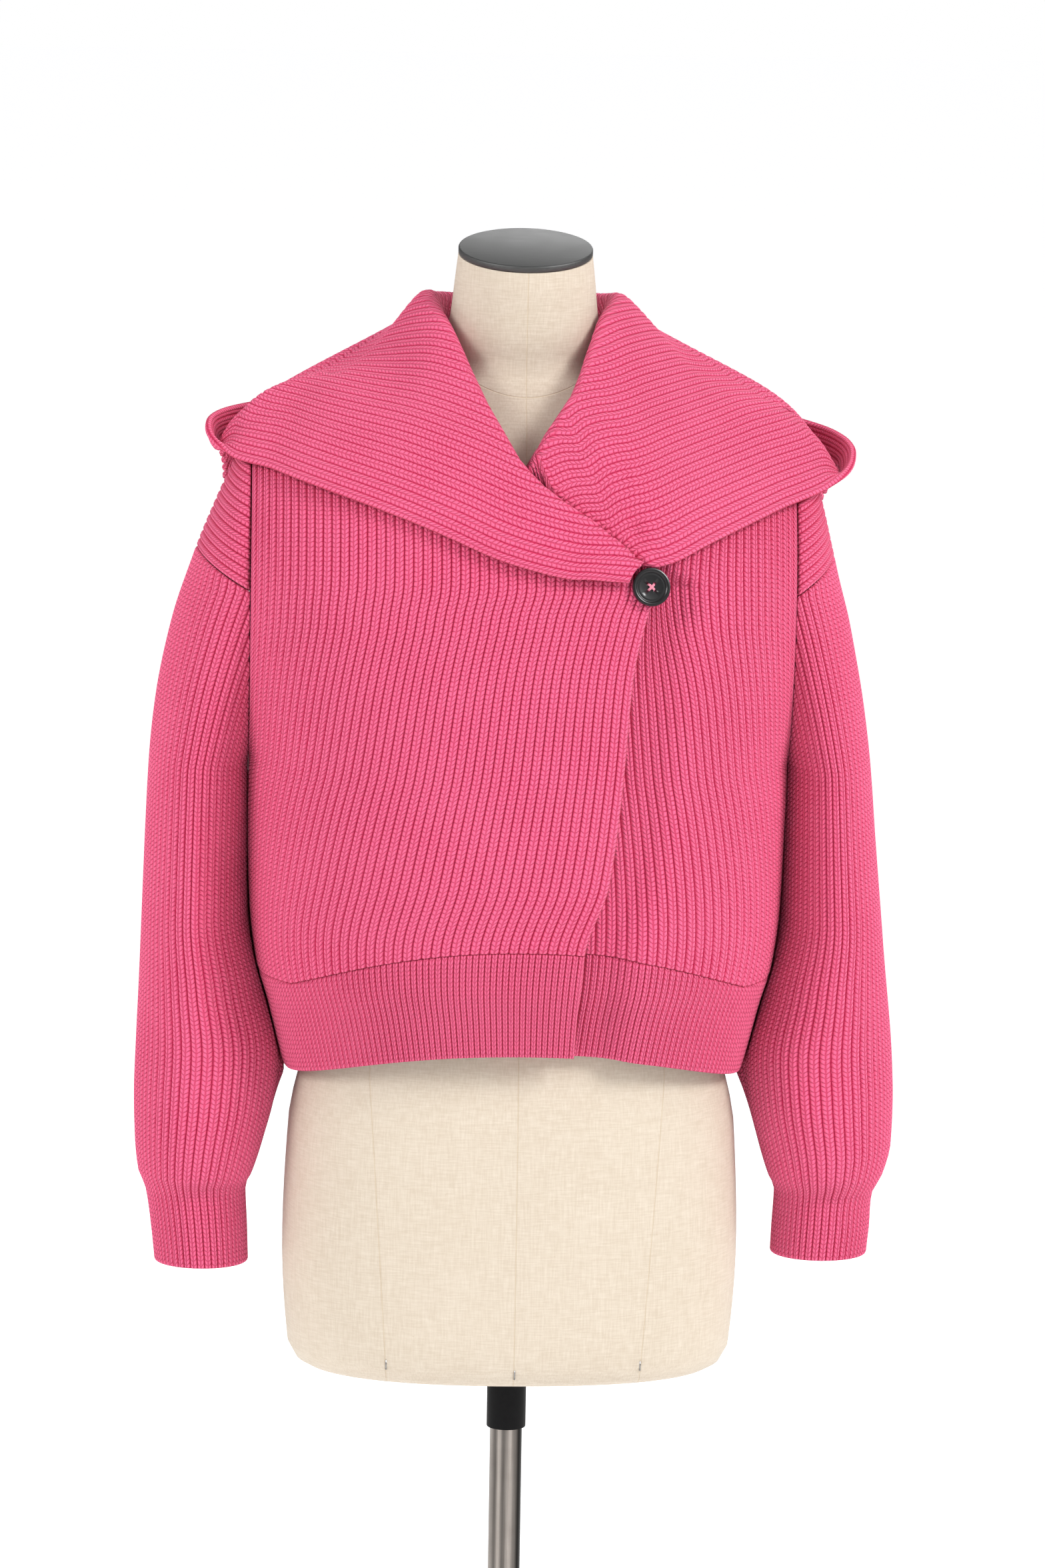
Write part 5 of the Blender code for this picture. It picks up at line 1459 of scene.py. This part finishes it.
def form_ring(height, half, front, back, centre, turn):
    """A level cut of the form, held inside the cardigan at the shoulders."""
    power = 2 / (2.0 + (FORM_POWER - 2.0) * smoothstep((NECK_CUTS_FROM - height) / 60))
    cosine, sine = np.cos(turn), np.sin(turn)
    x = half * np.sign(cosine) * np.abs(cosine) ** power
    depth = np.where(sine < 0, front, back) * np.abs(sine) ** power
    room = [torso_depth(x, np.full_like(x, height + FORM_ROOM), side) - FORM_ROOM for side in (2, 3)]
    within = np.maximum(np.where(sine < 0, room[0], room[1]), 0.15 * depth)
    held = SHOULDER_TIP_Z < height < NECK_Z - 3
    y = centre + np.sign(sine) * (np.minimum(depth, within) if held else depth)
    return np.stack([x, y, np.full_like(x, height)], axis=1)


def form_rows(table, heights):
    return [[z] + [float(smooth_read(table, z, k)) for k in range(1, 5)] for z in heights]


def tilted(radius, lift):
    """A circle round the tilted top of the neck, lifted off it."""
    flat = ring(radius, 0)
    y = CAP_CENTRE_Y + flat[:, 1] * math.cos(NECK_TILT) - lift * math.sin(NECK_TILT)
    z = NECK_TOP_Z + flat[:, 1] * math.sin(NECK_TILT) + lift * math.cos(NECK_TILT)
    return np.stack([flat[:, 0], y, z], axis=1)


def dress_form():
    turn = np.linspace(0, math.tau, ROUND_STEPS, endpoint=False)
    torso = np.array(FORM, float)
    heights = np.concatenate([torso[:3, 0], np.linspace(torso[2, 0], torso[-1, 0], 40)[1:]])
    rows = form_rows(FORM, heights)
    for half, front, back_depth, drop in FORM_SHOULDER:
        rows.append([float(shoulder_z(half)) - WALL - REST_GAP - drop, half, front, back_depth, SIDE_Y])
    rows += form_rows(FORM_NECK, np.linspace(FORM_NECK[0][0], FORM_NECK[-1][0], 12))
    rings = [form_ring(*row, turn) for row in rows]
    rings.append(tilted(CAP_RADIUS, 0.0))
    foot = FORM[0][0]
    socket = [ring(POLE_RADIUS + SOCKET_CLEAR, z) for z in (foot + SOCKET_DEPTH, foot)]
    return lofted("linen_form", socket + rings, LINEN)


def cap_plate():
    top = SEAM + CAP_THICK
    profile = [(CAP_RADIUS - 1.2, SEAM), (CAP_RADIUS - 0.3, SEAM + 0.3), (CAP_RADIUS, SEAM + 1.0)]
    profile += [(CAP_RADIUS, top - 1.0), (CAP_RADIUS - 0.4, top - 0.3), (CAP_RADIUS - 1.2, top)]
    return lofted("cap_plate", [tilted(*step) for step in profile], CAP_STEEL)


form = dress_form()
stand_in(form, "form_body", "form")
cap = cap_plate()
stand_in(cap, "neck_cap", "form")
print("form:", len(form.data.polygons), "faces, cap:", len(cap.data.polygons), "faces")

# %% Collar, pole and base
foot, floor_z = float(FORM[0][0]), -DATUM
collar_low, collar_top = foot - SEAM - COLLAR_HEIGHT, foot - SEAM
bore = POLE_RADIUS + SEAM
collar = turned(
    "stand_collar",
    [
        (bore, collar_low), (COLLAR_RADIUS - 1, collar_low), (COLLAR_RADIUS - 0.3, collar_low + 0.3),
        (COLLAR_RADIUS, collar_low + 1), (COLLAR_RADIUS, collar_top - 1), (COLLAR_RADIUS - 1, collar_top),
        (bore, collar_top),
    ],
    SATIN_BLACK,
    join=True,
)
stand_in(collar, "pole_collar", "stand")
pole_low, pole_top = floor_z + BASE_THICK + SEAM, foot + SOCKET_DEPTH - 2
pole_profile = [(POLE_RADIUS, z) for z in np.linspace(pole_low, pole_top - 1.5, 12)]
pole = turned("stand_pole", pole_profile + [(POLE_RADIUS - 1.5, pole_top)], POLE_STEEL)
stand_in(pole, "pole", "stand")
plate_top = floor_z + BASE_THICK
hub_top = plate_top + HUB_HEIGHT
base = turned(
    "stand_base",
    [
        (BASE_RADIUS - 3, floor_z), (BASE_RADIUS - 0.8, floor_z + 0.8), (BASE_RADIUS, floor_z + 3),
        (BASE_RADIUS, plate_top - 2), (BASE_RADIUS - 0.8, plate_top - 0.6), (BASE_RADIUS - 3, plate_top),
        (HUB_RADIUS + 4, plate_top), (HUB_RADIUS + 1.2, plate_top + 1.2), (HUB_RADIUS, plate_top + 4),
        (HUB_RADIUS, hub_top - 2), (HUB_RADIUS - 0.6, hub_top - 0.6), (bore, hub_top), (bore, plate_top),
    ],
    BASE_STEEL,
)
stand_in(base, "base", "stand")
print("stand:", [f"{part.name} {len(part.data.polygons)} faces" for part in (collar, pole, base)])

# %% [markdown]
# ## Staples
#
# A staple holds the linen at the foot of each seam. It is a short bent wire lying upright on the
# cloth, with its two ends pushed in. A curve with a round bevel makes a wire in a few lines, and is
# then turned into a mesh, so that the three staples can be one piece.

# %% Staples
STAPLE_LONG, STAPLE_WIRE = 7.0, 0.55
STAPLES = ((-97, 31), (0.6, 26), (97, 31))  # x and height


def evaluated(obj):
    """The mesh of an object as it stands after its curve or modifiers are worked out."""
    return bpy.data.meshes.new_from_object(obj.evaluated_get(bpy.context.evaluated_depsgraph_get()))


def tube(points, radius, name, material, sides=8):
    """A wire or thread as a mesh tube along points given in metres."""
    line = bpy.data.curves.new(name, "CURVE")
    line.dimensions = "3D"
    spline = line.splines.new("POLY")
    spline.points.add(len(points) - 1)
    for spot, point in zip(spline.points, points):
        spot.co = (*point, 1)
    line.bevel_depth = radius
    line.bevel_resolution = sides // 4
    line.use_fill_caps = True
    holder = placed(name + "_path", line)
    mesh = evaluated(holder)
    bpy.data.objects.remove(holder)
    mesh.name = name
    mesh.materials.clear()
    mesh.materials.append(material)
    mesh.shade_smooth()
    return placed(name, mesh)


def joined(objects, name):
    """One object from several, by copying their meshes into one."""
    work = bmesh.new()
    for obj in objects:
        work.from_mesh(obj.data)
    mesh = bpy.data.meshes.new(name)
    work.to_mesh(mesh)
    work.free()
    mesh.shade_smooth()
    mesh.materials.append(objects[0].data.materials[0])
    for obj in objects:
        bpy.data.objects.remove(obj)
    return placed(name, mesh)


def form_front_y(x, z):
    """y of the form's front at an x and a height, in millimetres."""
    half, front = smooth_read(FORM, z, 1), smooth_read(FORM, z, 2)
    return -front * (1 - min(abs(x) / half, 1) ** FORM_POWER) ** (1 / FORM_POWER)


def staples():
    made = []
    for x, z in STAPLES:
        low, high = z - STAPLE_LONG / 2, z + STAPLE_LONG / 2
        outline = [(low, 1.2), (low, -0.3), (high, -0.3), (high, 1.2)]
        points = [(x * MM, (form_front_y(x, h) + inward) * MM, (h + DATUM) * MM) for h, inward in outline]
        made.append(tube(points, STAPLE_WIRE * MM, "staple", STAPLE_STEEL))
    obj = joined(made, "staples")
    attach(obj, "form")


staples()
print("staples:", len(STAPLES))

# %% [markdown]
# ## Button
#
# The button is a turned black disc, 29 mm across, with a raised rim and a shallow dish. Four holes go
# through it, and pink thread crosses between them. Real holes are cut with a Boolean, because a
# painted dot would never catch the light at its edge.

# %% Button
BUTTON_RADIUS, BUTTON_THICK, BUTTON_SEAT = 14.5, 4.0, 1.6
HOLE_RADIUS, HOLE_APART = 1.15, 2.35
THREAD_RADIUS, SHANK_RADIUS = 0.42, 1.6
DISH = BUTTON_THICK - 1.7  # height of the floor of the dish


def button_place():
    """Where the button sits: on the ribs of the front, facing the way they face there."""
    step = 4.0

    def front_y(x, z):
        return float(SIDE_Y - torso_depth(x, z, 2))

    slope_x = (front_y(BUTTON_X + step, BUTTON_Z) - front_y(BUTTON_X - step, BUTTON_Z)) / (2 * step)
    slope_z = (front_y(BUTTON_X, BUTTON_Z + step) - front_y(BUTTON_X, BUTTON_Z - step)) / (2 * step)
    facing = Vector((slope_x, -1.0, slope_z)).normalized()
    face = Vector((BUTTON_X, front_y(BUTTON_X, BUTTON_Z), BUTTON_Z + DATUM))
    turn = facing.to_track_quat("Z", "Y").to_matrix().to_4x4()
    turn.translation = (face + facing * (RIB_RAISED + BUTTON_SEAT)) * MM
    return turn


def cut_holes(disc):
    """Cuts the four holes and gives the disc its finished mesh."""
    cutters = []
    for corner in ((-1, -1), (-1, 1), (1, -1), (1, 1)):
        hole = [ring(HOLE_RADIUS, z - DATUM, 20) for z in (-2.0, 6.0)]
        for points in hole:
            points[:, :2] += np.array(corner) * HOLE_APART
        cutters.append(lofted("hole", hole, BLACK))
    cutter = joined(cutters, "holes")
    cut = disc.modifiers.new("holes", "BOOLEAN")
    cut.operation, cut.solver, cut.object = "DIFFERENCE", "EXACT", cutter
    bpy.context.view_layer.update()
    mesh = evaluated(disc)
    disc.modifiers.clear()
    disc.data = mesh
    bpy.data.objects.remove(cutter)


def crossed_threads(place):
    """Two bundles of three strands that cross between the holes, and the shank behind the button."""
    threads = []
    for k, sign in enumerate((-1, 1)):
        for strand in (-0.55, 0.0, 0.55):
            points = []
            for share in np.linspace(-1, 1, 13):
                arch = (1 - share**4) * (0.75 + 0.45 * k) - 1.6 * share**8
                x = share * HOLE_APART - sign * strand * 0.7
                y = sign * share * HOLE_APART + strand * 0.7
                points.append(place @ Vector((x * MM, y * MM, (DISH + THREAD_RADIUS + arch - 0.2) * MM)))
            threads.append(tube(points, THREAD_RADIUS * MM, "strand", THREAD))
    shank = [place @ Vector((0, 0, z * MM)) for z in (-BUTTON_SEAT - 1.0, 0.6)]
    threads.append(tube(shank, SHANK_RADIUS * MM, "shank", THREAD, sides=16))
    return joined(threads, "button_thread")


def button():
    r, t = BUTTON_RADIUS, BUTTON_THICK
    profile = [
        (r - 2.5, 0.0), (r - 0.9, 0.3), (r, 1.4), (r, t - 1.2), (r - 0.3, t - 0.4), (r - 1.2, t),
        (r - 2.2, t - 0.15), (r - 3.0, t - 0.5), (r - 3.5, t - 1.3), (r - 4.3, t - 1.5),
        (r - 4.8, t - 1.35), (r - 5.6, t - 1.5), (4.0, DISH),
    ]
    disc = turned("button_disc", [(radius, z - DATUM) for radius, z in profile], BLACK, count=72)
    cut_holes(disc)
    place = button_place()
    disc.data.transform(place)
    stand_in(disc, "button", "form")
    thread = crossed_threads(place)
    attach(thread, "form")


button()
print("button: four holes of", 2 * HOLE_RADIUS, "mm")
